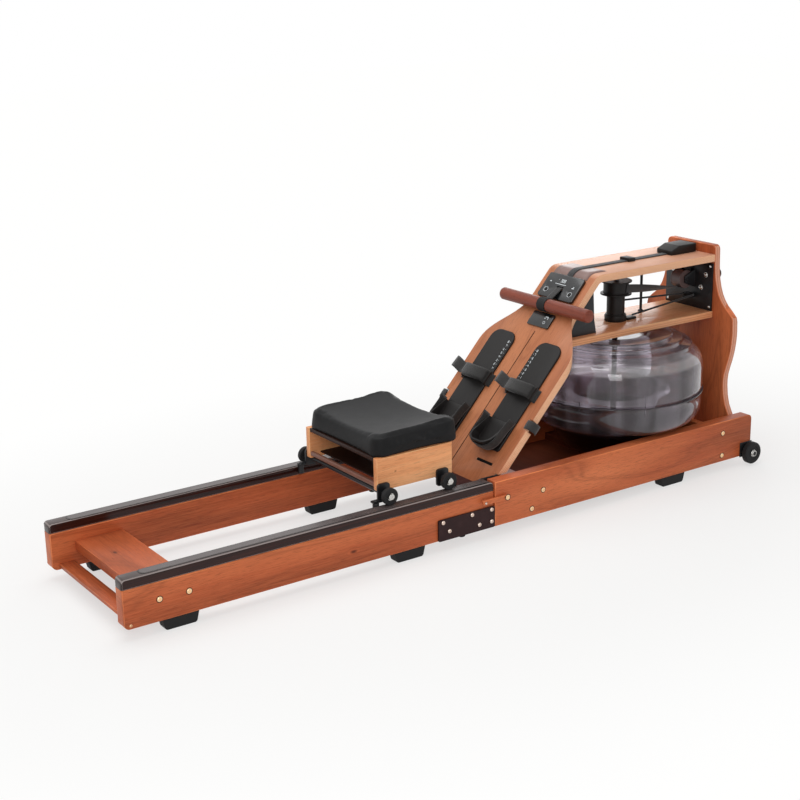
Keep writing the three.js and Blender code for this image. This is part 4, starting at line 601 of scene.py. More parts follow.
# Front frame: two long hardwood boards joined by a sill, a tilted brace, an end brace and the
# cradle under the tank, with a wooden latch lever across the joint on each side.
front_face, lever_face = 244, 253.4
for side, hand in sides:
    board = cherry("cherry_front_" + hand, "x", 11.2 + side)
    eased_copy("front_board_" + hand, "front_board_cut_" + hand, board, "board_wood", 1.3,
               keep_above=board_foot, steps=3)
    shoe("front_shoe_" + hand, 1774, side, front_face, "front_frame")
    for index, (x, z) in enumerate(((1266, 99), (1226, 52), (1975, 121), (1975, 50))):
        bolt(f"front_bolt_{index}_{hand}", x, side * front_face, z, side, brass, "front_frame")
    lever = cherry("cherry_latch_" + hand, "x", 15.4 + side, lines=20)
    eased_copy("latch_" + hand, "latch_lever_" + hand, lever, "board_wood", 0.6)
    bolt("latch_pin_" + hand, 1131, side * (lever_face + 2), 111, side, brass, "front_frame", 7.4, 1.6)
    bolt("latch_screw_" + hand, 1058, side * lever_face, 109, side, screw_steel, "latch_" + hand, 3.4, 1.6)
for node, seed in (("foot_brace", 19.3), ("end_brace", 21.9)):
    eased_copy(node, node + "_boards", cherry("cherry_" + node, "y", seed), "board_wood", 1.0)


def repaint(finish):
    """A finish's nodes, its shader and the colour that reaches it, to paint over."""
    surface = finish.node_tree.nodes["Principled BSDF"]
    return finish.node_tree, surface, surface.inputs["Base Color"].links[0].from_socket


# Painted shade: the cradle boards take a far darker copy of the wood, for the shade under the tank.
shaded_tray_wood = wood("shaded_tray_wood", "y", 24.4, tint(62, 28, 16), tint(92, 44, 27), tint(114, 58, 38), 0.6, 0.0)
tree, surface, face = repaint(shaded_tray_wood)
feed(tree, surface, {"Specular IOR Level": 0.06})
eased_copy("tank_cradle", "tank_cradle_boards", shaded_tray_wood, "board_wood", 1.0)


# Foot board: one bent lamination that climbs from the sill and turns level as the top board.
# Its faces are sanded veneer and its long edges show the paler layers.
def edge_layers(finish, across, spacing, pale, deep):
    """Shows the layers of a lamination on the faces that look sideways."""
    tree, surface, face = repaint(finish)
    sideways = maths(tree, "GREATER_THAN", maths(tree, "ABSOLUTE", split(tree, facing(tree))[1]), 0.72)
    spot = own_place(tree)
    wander = maths(tree, "MULTIPLY", noise(tree, spot, (30, 30, 30), 3.0), 0.0022)
    deepness = maths(tree, "ADD", arrow_maths(tree, "DOT_PRODUCT", spot, across), wander)
    layers = maths(tree, "SINE", maths(tree, "MULTIPLY", deepness, 2 * math.pi / spacing))
    stripe = mix_colours(tree, ramp(tree, layers, [(0.0, 0.0), (0.7, 0.2), (0.95, 1.0)]), pale, deep)
    fleck = noise(tree, spot, (140, 600, 600), 2.0)
    stripe = mix_colours(tree, ramp(tree, fleck, [(0.4, 0.0), (0.8, 0.4)]), stripe, deep)
    feed(tree, surface, {"Base Color": mix_colours(tree, sideways, face, stripe)})
    return finish


uphill = Vector((math.cos(board_slope), 0, math.sin(board_slope)))
off_slope = Vector((-math.sin(board_slope), 0, math.cos(board_slope)))
slope_foot = at(1140, 0, 158)


def on_slope(up, out, lift):
    """Place on the foot board: mm up the slope, out to the left and off its face."""
    return slope_foot + (uphill * up + off_slope * lift + Vector((0, out, 0))) * mm


foot_veneer = edge_layers(
    wood("foot_board_veneer", "slope", 31.0, tint(136, 72, 42), tint(176, 104, 66), tint(198, 128, 88),
         painted_edge_light=False),
    tuple(off_slope), 0.0052, tint(250, 198, 158), tint(206, 136, 98))
tree, surface, face = repaint(foot_veneer)
# Painted sheen: faces that look up, the level top board, are mixed towards a pale pink.
level = ramp(tree, split(tree, facing(tree))[2], [(0.78, 0.0), (0.97, 0.62)])
feed(tree, surface, {"Base Color": mix_colours(tree, level, face, tint(232, 180, 150))})
eased_copy("footboard", "bent_board", foot_veneer, "pale_wood", 1.1)
# Painted shade: black plates sunk in the seam and the strap slots stand in for their shaded depths.
painted_slot_shade = plain("painted_slot_shade", tint(14, 10, 9), 0.8, depth=0.2, fleck=0.3, specular=0.1)
for name, outline, span, ease in (
        ("board_seam", oblong(203, 0, 233, 1.1), (-0.8, 0.12), 0.05),
        ("foot_slot_right", oblong(20, -122, 4, 34, 2), (-1.5, 0.15), 0.1),
        ("foot_slot_left", oblong(20, 122, 4, 34, 2), (-1.5, 0.15), 0.1)):
    link_piece(plate(name, outline, span, on_slope, painted_slot_shade, ease, 2), "front_frame", "brown_plastic")


# Shelf and upright: a lighter shelf let in behind the foot board, and a vase-shaped upright
# cut from one wide board, both with rounded edges.
shelf_wood = edge_layers(
    wood("shelf_wood", "x", 37.0, tint(214, 132, 84), tint(244, 170, 120), tint(250, 192, 146), 0.3, 0.15),
    (0, 0, 1), 0.0066, tint(228, 164, 118), tint(192, 120, 80))
eased_copy("shelf", "shelf_board", shelf_wood, "pale_wood", 0.9)
# Painted shade: the upright takes a slightly darker copy of the cherry, for its face in shadow.
shaded_upright_wood = edge_layers(
    wood("cherry_upright_shaded", "z", 41.5, tint(102, 44, 21), tint(167, 79, 44), tint(209, 116, 71)),
    (1, 0, 0), 0.011, tint(226, 164, 136), tint(196, 116, 86))
eased_copy("upright", "upright_board", shaded_upright_wood, "board_wood", 1.8, steps=3)


# Steel behind the foot board and on the upright: folded gussets, the drive plate with its
# ears, and two rubber bumpers bolted through the upright.
eased_copy("gusset_bracket", "gussets", black_steel, "black_steel", 0.4)
eased_copy("drive_plate", "drive_back_plate", black_steel, "black_steel", 0.4)
bright_steel = plain("bright_steel", tint(196, 194, 190), 0.2, metal=1.0, grit=400, depth=0.05, fleck=0.5)
drive_plate_face, upright_front = 2053.7, 2080.3
bumper_out, bumper_up = 70, 572
buffer = [(7.5, 23.4), (7.5, 24.6), (14.6, 24.6), (17.4, 21.6), (17.4, 3), (16.4, 0.1), (0, 0.1), (0, 23.4)]
nut = [(0, 27.8), (4.4, 27.8), (7.4, 26.6), (8.0, 24.4), (0, 24.4)]
for side, hand in sides:
    middle = (upright_front, side * bumper_out, bumper_up)
    link_piece(turned("bumper_" + hand, buffer, middle, rubber, "x", 48, 0.6, closed=False),
               "front_frame", "rubber")
    link_piece(turned("bumper_bolt_" + hand, nut, middle, bright_steel, "x", 24, 0.3),
               "front_frame", "black_steel")
backward = Matrix.Rotation(math.radians(-90), 3, "Y")
cap_nut = [(0, 5.2), (3.2, 4.6), (5.4, 3.0), (6.2, 0.9), (8.6, 0.8), (8.6, 0), (0, 0)]
small_screw = [(0, 1.0), (1.2, 1.8), (3.4, 1.5), (4.4, 0), (0, 0)]
for index, (y, z, shape) in enumerate((
        (-bumper_out, bumper_up, cap_nut), (bumper_out, bumper_up, cap_nut), (-88, 601, small_screw),
        (-88, 474, small_screw), (88, 601, small_screw), (88, 474, small_screw), (-52, 530, cap_nut),
        (52, 530, cap_nut))):
    link_piece(turned(f"plate_nut_{index}", shape, (drive_plate_face, y, z), bright_steel, backward, 24, 0.2),
               "front_frame", "black_steel")
post = [(0, 463.2), (9, 463.2), (9, 465), (6.4, 467.5), (4.2, 469), (4.2, 617.6), (0, 617.6)]
link_piece(turned("guide_post", post, (1890, 40, 0), black_steel, "z", 24, 0.3),
           "front_frame", "black_steel")


# Tank: a clear polycarbonate bowl and dome, blown and sealed together at a dark gasket, with
# water in the bowl and a four-bladed paddle on its shaft. The bands are heights in metres.
# Painted shade fades out across the foot band; the painted reflection sits in the shoulder band.
foot_shade_band = (0.146, 0.168)
shoulder_glint_band = (0.354, 0.358, 0.38, 0.385)


def clear_finish(name, colour, foot_shade, ior, wave, through, coat, shoulder_glint_share):
    """Clear moulding under a glossy skin, with painted shade darkening its foot and a painted pale
    reflection round the shoulder, and the wall's uneven thickness as faint upright streaks."""
    made, tree, surface = new_finish(name)
    spot = own_place(tree)
    haze = noise(tree, spot, (7, 7, 4), 3.0, 0.5)
    body = ramp(tree, haze, [(0.3, tone(colour, 0.94)), (0.7, colour)])
    height = split(tree, spot)[2]
    above = add_node(tree, "MapRange", {"Value": height, "From Min": foot_shade_band[0],
                                        "From Max": foot_shade_band[1]}).outputs[0]
    # Painted shade: below the foot band the moulding and the water turn dark brown.
    body = mix_colours(tree, above, foot_shade, body)
    flutes = noise(tree, spot, (16, 16, 0.6), 2.0, 0.4)
    body = mix_colours(tree, ramp(tree, flutes, [(0.46, 0.0), (0.62, 0.5)]), body, foot_shade)
    # Painted reflection: a pale band round the shoulder.
    thin = ramp(tree, height, list(zip(shoulder_glint_band, (0.0, shoulder_glint_share, shoulder_glint_share, 0.0))))
    feed(tree, surface, {
        "Base Color": mix_colours(tree, thin, body, tint(250, 250, 252)),
        "Roughness": maths(tree, "MULTIPLY", haze, 0.012), "Transmission Weight": through, "IOR": ior,
        "Coat Weight": coat, "Coat Roughness": 0.03, "Coat IOR": 1.5,
        "Normal": bumpy(tree, wave, 0.002, noise(tree, spot, (9, 9, 14), 2.0))})
    return made


def smoothed(profile, steps=4):
    """More points on a smooth curve through a profile's points."""
    out = []
    count = len(profile)
    for i in range(count - 1):
        a, b = Vector(profile[max(i - 1, 0)]), Vector(profile[i])
        c, d = Vector(profile[i + 1]), Vector(profile[min(i + 2, count - 1)])
        for step in range(steps):
            t = step / steps
            out.append(tuple(0.5 * (2 * b + (c - a) * t + (2 * a - 5 * b + 4 * c - d) * t * t
                                    + (3 * b - a - 3 * c + d) * t ** 3)))
    out.append(tuple(profile[-1]))
    return out


tank_x, tank_radius, tank_wall = 1748.0, 266.0, 4.0
bowl_shares = (
    (0, 0), (0.125, 0.021), (0.264, 0.106), (0.403, 0.249), (0.493, 0.37), (0.535, 0.447),
    (0.65, 0.482), (0.775, 0.51), (0.885, 0.565), (0.955, 0.66), (0.99, 0.79), (1, 1))
bowl_outer = smoothed([(122 + 144 * across, 73 + 189 * up) for across, up in bowl_shares])


def moved_in(profile, inset):
    out = []
    for i, (radius, height) in enumerate(profile):
        before = Vector(profile[max(i - 1, 0)])
        after = Vector(profile[min(i + 1, len(profile) - 1)])
        run = (after - before).normalized()
        if i == 0:
            run = Vector((1, 0))
        if i == len(profile) - 1:
            run = Vector((0, 1))
        out.append((radius - run.y * inset, height + run.x * inset))
    return out


tank_clear = clear_finish("tank_clear", tint(208, 202, 210), tint(52, 32, 28), 1.1, 0.03, 0.93, 0.9, 1.0)
bowl_inner = moved_in(bowl_outer, tank_wall)[::-1]
flange = [(tank_radius, 256), (268.4, 258.6), (268.4, 262), (262, 262)]
bowl = [(0, 73)] + bowl_outer[:-3] + flange + bowl_inner[2:] + [(0, 77)]
link_piece(turned("tank_bowl_shell", bowl, (tank_x, 0, 0), tank_clear, "z", 128, 0.0),
           "front_frame", "tank_clear", "tank_bowl")
shoulder = smoothed([
    (266, 262.3), (266, 318), (265, 344), (258, 366), (245, 384), (234, 392), (231, 394), (230.5, 401),
    (227, 404), (208, 409), (204, 410.5), (203, 416), (199, 418.5), (176, 421), (172.5, 422), (172, 428),
    (166, 430), (120, 430)], 3)
dome_inner = [(262, 262.3)] + moved_in(shoulder, tank_wall)[1:-1] + [(120, 426)]
dome = shoulder + [(9.5, 430), (9.5, 426)] + dome_inner[::-1]
link_piece(turned("tank_dome_shell", dome, (tank_x, 0, 0), tank_clear, "z", 128, 0.0),
           "front_frame", "tank_clear", "tank_dome")
gasket = [(265.4, 261.7), (269.2, 261.7), (269.2, 263.0), (265.4, 263.0)]
gasket_grey = plain("gasket_grey", tint(58, 50, 56), 0.3, grit=500, fleck=0.3)
link_piece(turned("tank_gasket", gasket, (tank_x, 0, 0), gasket_grey, "z", 128, 0.3), "front_frame", "rubber")
water_finish = clear_finish("water_tint", tint(150, 134, 147), tint(48, 34, 34), 1.2, 0.12, 0.95, 0.5, 0.0)
water_top, well_radius, well_floor = 246, 127, 115
water_wall = [point for point in moved_in(bowl_outer, 4.5) if point[1] < water_top - 1.5]
water_body = [(0, water_wall[0][1])] + water_wall + [
    (259.7, water_top), (well_radius, water_top), (well_radius, well_floor), (0, well_floor)]
link_piece(turned("tank_water", water_body, (tank_x, 0, 0), water_finish, "z", 96, 0.0),
           "front_frame", "water_tint", "water")
paddle_plastic = plain("paddle_plastic", tint(52, 46, 52), 0.35, grit=500, fleck=0.3)
eased_copy("impeller", "paddle", paddle_plastic, "brown_plastic", 0.8)
rib = plain("tank_rib", tint(120, 114, 120), 0.3, grit=500, fleck=0.3)
for index, (turn, top) in enumerate(((205, 276), (248, 300), (292, 276), (335, 300))):
    x = tank_x + 258 * math.cos(math.radians(turn))
    rod = [(0, 232), (1.8, 232), (2.2, 240), (1.6, 262), (1.6, top), (0, top)]
    middle = (x, 258 * math.sin(math.radians(turn)), 0)
    link_piece(turned(f"level_rod_{index}", rod, middle, rib, "z", 12, 0.0), "front_frame", "tank_clear")


# Drive on the shelf: a shaft bearing, a moulded spool with its cord drum, a strap roller, an
# elastic cord round its pulley, and the strap's fairlead and housing on the top board.
black_plastic = plain("black_plastic", tint(23, 20, 19), 0.46, grit=1300, depth=0.3, fleck=0.35,
                      specular=0.24)
eased_copy("shaft_bearing", "bearing_block", black_plastic, "black_plastic", 0.5)
spool = [
    (8.5, 480.6), (31, 480.6), (31, 484.6), (27, 485.4), (27, 540), (31, 540.8), (31, 544.6), (47, 544.6),
    (47, 548.6), (38, 549.4), (38, 582), (47, 582.8), (47, 586.6), (8.5, 586.6)]
link_piece(turned("spool", spool, (tank_x, 0, 0), black_plastic, "z", 72, 0.5),
           "strap_spool", "black_plastic", "strap_spool")
roller = [(5.4, -20), (28, -20), (28, -18), (27, -17), (27, 17), (28, 18), (28, 20), (5.4, 20)]
roller_plastic = plain("roller_plastic", tint(92, 74, 72), 0.4)
link_piece(turned("roller", roller, (2020.7, 0, 555), roller_plastic, "y", 56, 0.5),
           "strap_roller", "black_plastic", "strap_roller")
pulley = [(5.4, -5), (17, -5), (17, -4.2), (14, -0.6), (14, 0.6), (17, 4.2), (17, 5), (5.4, 5)]
link_piece(turned("cord_pulley", pulley, (2029.7, -20, 505), black_plastic, "z", 48, 0.3),
           "bungee_pulley", "black_plastic", "bungee_pulley")
eased_copy("fairlead", "strap_guide", black_plastic, "black_plastic", 0.5)
eased_copy("top_housing", "roller_housing", black_plastic, "black_plastic", 0.8)


# Strap and elastic cord: a flat woven strap over the boards and round the roller, and a round
# braided cord that pulls the spool back.
def woven(name, colour, across, along):
    """Webbing or braid, with its threads crossing in two directions under a little fuzz."""
    made, tree, surface = new_finish(name)
    spot = own_place(tree)
    threads = []
    for direction, pitch in ((across, 0.0016), (along, 0.0024)):
        line = arrow_maths(tree, "DOT_PRODUCT", spot, direction)
        threads.append(maths(tree, "SINE", maths(tree, "MULTIPLY", line, 2 * math.pi / pitch)))
    weave = maths(tree, "MULTIPLY", *threads)
    fuzz = noise(tree, spot, (900, 900, 900), 3.0, 0.7)
    lighter = tone(colour, 1.9, 0.01)
    body = mix_colours(tree, ramp(tree, weave, [(0.0, 0.0), (0.9, 0.5)]), colour, lighter)
    body = mix_colours(tree, ramp(tree, fuzz, [(0.4, 0.0), (0.8, 0.35)]), body, lighter)
    height = maths(tree, "ADD", weave, maths(tree, "MULTIPLY", fuzz, 0.6))
    feed(tree, surface, {
        "Base Color": body, "Roughness": maths(tree, "MULTIPLY_ADD", fuzz, 0.2, 0.7),
        "Sheen Weight": 0.25, "Sheen Roughness": 0.5, "Normal": bumpy(tree, 0.5, 0.0003, height)})
    return made


strap_weave = woven("strap_weave", tint(28, 28, 30), (0, 1, 0), (1, 0, 0.6))
eased_copy("drive_strap", "flat_strap", strap_weave, "webbing", 0.3)


def band(name, stations, width, thickness, finish):
    """Flat strap through its stations (middle, across, outward), closed at both ends."""
    points, faces, columns = [], [], 6
    across = columns + 1
    for middle, over, out in stations:
        for level in (0.5, -0.5):
            for column in range(across):
                share = column / columns - 0.5
                thin = 1 - 0.55 * (2 * abs(share)) ** 8
                points.append(middle + (over * (share * width) + out * (level * thin * thickness)) * mm)
    ring = 2 * across
    for i in range(len(stations) - 1):
        for column in range(columns):
            top, low = i * ring + column, i * ring + across + column
            faces += [(top, top + 1, top + 1 + ring, top + ring),
                      (low + 1, low, low + ring, low + 1 + ring)]
        for top in (i * ring, i * ring + columns):
            faces.append((top, top + across, top + across + ring, top + ring))
    for start in (0, (len(stations) - 1) * ring):
        faces += [(i, i + 1, i + 1 + across, i + across) for i in range(start, start + columns)]
    return smooth(turn_faces_out(make_piece(name, points, faces, finish)))


slope_weave = woven("slope_weave", tint(21, 19, 18), (0, 1, 0), tuple(uphill))
left_side = Vector((0, 1, 0))
strap_root, strap_mouth = on_slope(586.7, 0, 2.2), on_slope(580.7, 0, 10.8)
strap_hold = on_slope(536.6, 0, 22)
hold_out = (strap_hold - strap_mouth).cross(left_side).normalized()
if hold_out.z < 0:
    hold_out.negate()
stations = [(strap_root.lerp(strap_mouth, step / 3), left_side, off_slope) for step in range(3)]
stations += [(strap_mouth.lerp(strap_hold, step / 60), left_side,
              off_slope.lerp(hold_out, min(1, step / 6)).normalized()) for step in range(61)]
strap_end = band("strap_end", stations, 25, 2, slope_weave)
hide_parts("pull_strap")
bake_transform(strap_end)
cord_braid = woven("cord_braid", tint(24, 24, 26), (0.7, 1, 0.5), (-0.7, 1, -0.5))
eased_copy("bungee_cord", "elastic_cord", cord_braid, "webbing", 0.0)


# Console: a glossy panel and a lower panel screwed to the foot board, with two push buttons
# and a small display with a painted glow behind the gloss; a mauve plate over the bend is painted sheen.
panel_gloss = plain("panel_gloss", tint(17, 18, 20), 0.22, grit=300, depth=0.04, fleck=0.3, coat=0.35,
                    scuff=0.1)
eased_copy("console_panel", "console", panel_gloss, "panel_gloss", 0.4)
eased_copy("lower_panel", "lower_console", panel_gloss, "panel_gloss", 0.4)
painted_glow_white = plain("painted_glow_white", tint(214, 220, 222), 0.5, grit=400, depth=0.02, fleck=0.3)
tree, surface, face = repaint(painted_glow_white)
# Painted glow: the white marks, print as well as display, give off faint light.
feed(tree, surface, {"Emission Color": (0.9, 0.95, 1, 1), "Emission Strength": 0.25})
panel_face, lower_face = 9.3, 6.3
segment_places = {
    "a": (1, 0.5, False), "b": (0.75, 1, True), "c": (0.25, 1, True), "d": (0, 0.5, False),
    "e": (0.25, 0, True), "f": (0.75, 0, True), "g": (0.5, 0.5, False)}
digit_segments = {
    "0": "abcdef", "1": "bc", "2": "abged", "3": "abgcd", "4": "fgbc", "5": "afgcd", "6": "afgedc",
    "7": "abc", "8": "abcdefg"}


def digits(name, text, up, out, size, face):
    """Row of white digits with a painted glow on the slope, read from below, centred on (up, out)."""
    wide, stroke, pitch = size * 0.52, size * 0.13, size * 0.8
    points, faces = [], []
    for index, mark in enumerate(text):
        middle = out + pitch * ((len(text) - 1) / 2 - index)
        for segment in digit_segments[mark]:
            high, right, stands = segment_places[segment]
            half_up, half_out = (size / 4, stroke / 2) if stands else (stroke / 2, wide / 2)
            bar = oblong(up + (high - 0.5) * size, middle + (0.5 - right) * wide, half_up, half_out)
            start = len(points)
            points += [on_slope(a, b, face + rise) for a, b in bar for rise in (0.02, 0.14)]
            faces += [(start + 1, start + 3, start + 5, start + 7), (start, start + 6, start + 4, start + 2)]
            faces += [(start + i, start + (i + 2) % 8, start + (i + 2) % 8 + 1, start + i + 1)
                      for i in (0, 2, 4, 6)]
    link_piece(make_piece(name, points, faces, painted_glow_white), "front_frame", "panel_gloss")


def painted_glow_bar(name, up, out, half_up, half_out, face):
    outline, span = oblong(up, out, half_up, half_out), (face + 0.02, face + 0.14)
    link_piece(plate(name, outline, span, on_slope, painted_glow_white, 0.0, 2), "front_frame", "panel_gloss")


def painted_glow_ring(name, up, out, radius, face):
    ring = [(radius - 0.9, 0.02), (radius, 0.02), (radius, 0.16), (radius - 0.9, 0.16)]
    middle = on_slope(up, out, face) / mm + Vector((rear_end, 0, 0))
    link_piece(turned(name, ring, middle, painted_glow_white, Matrix.Rotation(-board_slope, 3, "Y"), 32, 0.0),
               "front_frame", "panel_gloss")


digits("display_digits", "308", 606, 2, 9, panel_face)
for index, bar in enumerate((
        (594, 6, 0.7, 24), (590, -50, 1.3, 4), (594, -52, 1.3, 2), (598, 52, 1.6, 3), (609, 22, 0.9, 0.9))):
    painted_glow_bar(f"display_bar_{index}", *bar, panel_face)
for side, hand in sides:
    eased_copy("button_" + hand, "push_button_" + hand, black_plastic, "black_plastic", 0.3)
    painted_glow_ring("button_ring_" + hand, 569, side * 52, 8.2, panel_face)
painted_glow_ring("lower_ring", 466, -20, 4.6, lower_face)
for index, bar in enumerate(((482, -25.75, 4, 1.25), (485.25, -20, 1.25, 6), (479.75, -14.5, 1.25, 2.5))):
    painted_glow_bar(f"lower_mark_{index}", *bar, lower_face)
# Painted sheen: a mauve plate laid over the bend, where the board only shows a sheen.
bend_sheen_mauve = plain("bend_sheen_mauve", tint(128, 98, 90), 0.34, grit=900, depth=0.1, fleck=0.4)
bend_middle, bend_radius = at(1600.2, 0, 598), 42.6
stations = [(on_slope(up, 0, 0.6), left_side, off_slope) for up in (629, 632, 635.3)]
for step in range(1, 11):
    turn = board_slope * (1 - step / 10)
    out = Vector((-math.sin(turn), 0, math.cos(turn)))
    stations.append((bend_middle + out * (bend_radius * mm), left_side, out))
stations += [(at(x, 0, 598 + bend_radius), left_side, Vector((0, 0, 1))) for x in (1610, 1622, 1634, 1640)]
link_piece(band("bend_sheen_plate", stations, 148, 0.9, bend_sheen_mauve), "front_frame", "brown_plastic")


# Handle: a turned round grip of dark stained wood, eased at its ends, with a moulded rubber
# sleeve pushed over its middle, where the strap ends.
handle_wood = wood("handle_wood", "y", 53.0, tint(84, 35, 24), tint(116, 54, 39), tint(138, 70, 53), 0.4,
                   lines=22, painted_edge_light=False)
handle_middle = (1471.7, 0, 552.6)
grip_end = [(0, 192), (14.5, 192), (17.2, 190.9), (18.5, 188)]
grip = [(radius, -place) for radius, place in grip_end]
grip += [(18.5, place) for place in range(-180, 181, 20)] + grip_end[::-1]
link_piece(turned("handle_bar", grip, handle_middle, handle_wood, "y", 64, 0.0),
           "handle", "handle_wood", "handle_grip")
sleeve = [(18.8, -17), (20.4, -17), (21, -16), (21, 16), (20.4, 17), (18.8, 17)]
link_piece(turned("handle_sleeve", sleeve, handle_middle, rubber, "y", 64, 0.3),
           "handle", "rubber", "handle_wrap")


# Foot plates, heel cups and toe straps: moulded plates with a printed scale, cups with a soft
# band round the heel that slide on them, and wide woven straps with a loose tail over the toes.
plate_middle, foot_plate_face, strap_up = 103, 7.3, 248


def lean(turn, side=1):
    """Direction that leans from the machine's side to the slope's face as turn goes to 90."""
    turn = math.radians(turn)
    return left_side * (side * math.cos(turn)) + off_slope * math.sin(turn)


def arch(turn, up, middle, half, foot, rise):
    """One station of a strap's arch over a foot."""
    out = middle + half * math.cos(math.radians(turn))
    lift = foot + rise * math.sin(math.radians(turn)) ** 0.8
    return on_slope(up, out, lift), -uphill, lean(turn)


for side, hand in sides:
    eased_copy("footplate_" + hand, "foot_plate_" + hand, black_plastic, "black_plastic", 0.8)
    eased_copy("heel_cup_" + hand, "heel_rest_" + hand, black_plastic, "black_plastic", 1.2)
    middle = side * plate_middle
    for index in range(8):
        up = 286 + index * 13
        # The printed scale uses the same white with its painted glow.
        digits(f"scale_{index}_{hand}", str(index + 1), up, middle - side * 37, 6.5, foot_plate_face)
        painted_glow_bar(f"scale_line_{index}_{hand}", up, middle - side * 44.5, 0.4, 1.5, foot_plate_face)

    # Lower layer of the strap: an arch from edge to edge of the plate
    ends = [(on_slope(strap_up, middle + y, lift), -uphill, off_slope)
            for y, lift in ((-66, 2.0), (-58.5, 2.1), (58.5, 2.1), (66, 2.0))]
    over = [arch(turn, strap_up + 2.5 * math.sin(math.radians(3 * turn)), middle, 55, 2.0, 36.5)
            for turn in (180 * (1 - step / 28) for step in range(1, 28))]
    link_piece(band("toe_band_" + hand, ends[:2] + over + ends[2:], 40, 2.6, slope_weave),
               "front_frame", "webbing", "toe_strap_" + hand)

    # Upper layer: pulled back over the arch, with its tail standing off on the far side
    stations = [arch(turn, strap_up + 2 + 2 * math.cos(math.radians(2 * turn)), middle, 57.4, 5.2, 37.0)
                for turn in (28 + 126 * (1 - step / 24) for step in range(25))]
    for y, lift, turn, slip in (
            (57, 27, 60, 1), (64, 29, 75, 3), (73, 33, 90, 6), (84, 35, 80, 9), (95, 33, 60, 11)):
        stations.append((on_slope(strap_up + 2 + slip, middle + y, lift),
                         (-uphill + left_side * 0.1).normalized(), lean(turn)))
    link_piece(band("toe_tail_" + hand, stations, 36, 2.2, slope_weave), "front_frame", "webbing")

    # Buckle on the side where the upper layer starts
    ring, hole = oblong(strap_up, 3.5, 22, 7.5, 3, 4), oblong(strap_up, 3.5, 18, 3.5, 1.5, 4)
    points = []
    for outline, lift in ((ring, 8.2), (hole, 8.2), (hole, 10.8), (ring, 10.8)):
        points += [on_slope(up, middle - 53 - out * 0.8, lift + out * 0.9) for up, out in outline]
    count = len(ring)
    faces = []
    for row in range(4):
        low, high = row * count, (row + 1) % 4 * count
        faces += [(low + i, low + (i + 1) % count, high + (i + 1) % count, high + i) for i in range(count)]
    buckle = make_piece("toe_buckle_" + hand, points, faces, black_plastic)
    link_piece(ease_edges(buckle, 0.4), "front_frame", "black_plastic")

    # Tail of the strap that passes down through the notch in the board's edge
    stations = [
        (on_slope(164, side * (201 + out * 0.9), lift), -uphill, lean(turn, side)) for out, lift, turn in (
            (-16, 1.6, 90), (-8, 1.6, 90), (0, 1.6, 86), (9, 0.4, 60), (15, -7, 20), (17, -17, 0),
            (13, -26, -25), (6, -31, -60))]
    link_piece(band("strap_loop_" + hand, stations, 27, 2.2, slope_weave), "front_frame", "webbing")

    # Soft band round the back of the heel cup, with its ends flared
    stations = []
    path = [(151, -57), (141, -54.5), (128, -52.2), (112, -51.4), (98, -51.2)]
    path += [(88 - 39 * math.sin(math.radians(turn)), -12 - 39 * math.cos(math.radians(turn)))
             for turn in range(8, 91, 9)]
    path += [(up, -out) for up, out in path[::-1]]
    for index, (up, out) in enumerate(path):
        before, after = path[max(index - 1, 0)], path[min(index + 1, len(path) - 1)]
        run = (uphill * (after[0] - before[0]) + left_side * (after[1] - before[1])).normalized()
        outward = run.cross(off_slope).normalized()
        rise = 29 - 5 * max(0, (up - 90) / 60)
        stations.append((on_slope(up, middle + out, rise), off_slope, outward))
    link_piece(band("heel_band_" + hand, stations, 27, 2.6, slope_weave), "heel_cup_" + hand, "webbing")


# Seat: a moulded foam cushion under a grained dark cover, scooped in the middle and stapled
# under its rim, on a box of two pale side boards and a panel.
seat_wood = wood("seat_wood", "x", 61.0, tint(210, 122, 68), tint(250, 172, 116), tint(253, 198, 148),
                 knots=[(at(815, -183, 234), (90, 30, 120))])
tree, surface, face = repaint(seat_wood)
between = maths(tree, "LESS_THAN", maths(tree, "ABSOLUTE", split(tree, own_place(tree))[1]), 0.1592)
feed(tree, surface, {"Base Color": mix_colours(tree, between, face, tint(44, 26, 20))})
eased_copy("seat_frame", "seat_box", seat_wood, "pale_wood", 0.9)
tie_bar = plain("tie_bar", tint(128, 88, 74), 0.4, grit=600, fleck=0.4)
for name, x in (("rear", 764), ("front", 992)):
    bar = upright_plate("seat_tie_" + name, oblong(x, 202, 5, 6, 2), (-160, 160), tie_bar, 0.4)
    link_piece(bar, "seat", "pale_wood")
cushion_cover = plain("cushion_cover", tint(21, 21, 22), 0.52, grit=1500, depth=0.5, fleck=0.35,
                      specular=0.14, sheen=0.05, scuff=0.05)
cushion_middle, cushion_floor = Vector((896.0, 0.0)), 277.2
cushion_half, cushion_corner = Vector((139.0, 180.0)), 36.0
cushion_rise, cushion_edge = 56.0, 11.0


def inside_cushion(x, y):
    """How far a place in the plan lies inside the cushion's outline."""
    over_x = abs(x) - (cushion_half.x - cushion_corner)
    over_y = abs(y) - (cushion_half.y - cushion_corner)
    return cushion_corner - math.hypot(max(over_x, 0), max(over_y, 0)) - min(max(over_x, over_y), 0)


def cushion_top(x, y):
    u = x / cushion_half.x
    v = y / cushion_half.y
    crown = cushion_rise + 8 * v * v - 3.5 * (1 - u) - 14 * (1 - v * v) * (1 - 0.55 * u * u)
    return crown + 5.0 * max(u, 0) ** 2 * v * v


plan = oblong(0, 0, *cushion_half, cushion_corner, 10)
edge = []
for index, start in enumerate(plan):
    end = plan[(index + 1) % len(plan)]
    steps = max(1, round(math.dist(start, end) / 9))
    edge += [tuple(Vector(start).lerp(Vector(end), step / steps)) for step in range(steps)]
rows = [[(0, 0, 0)]]


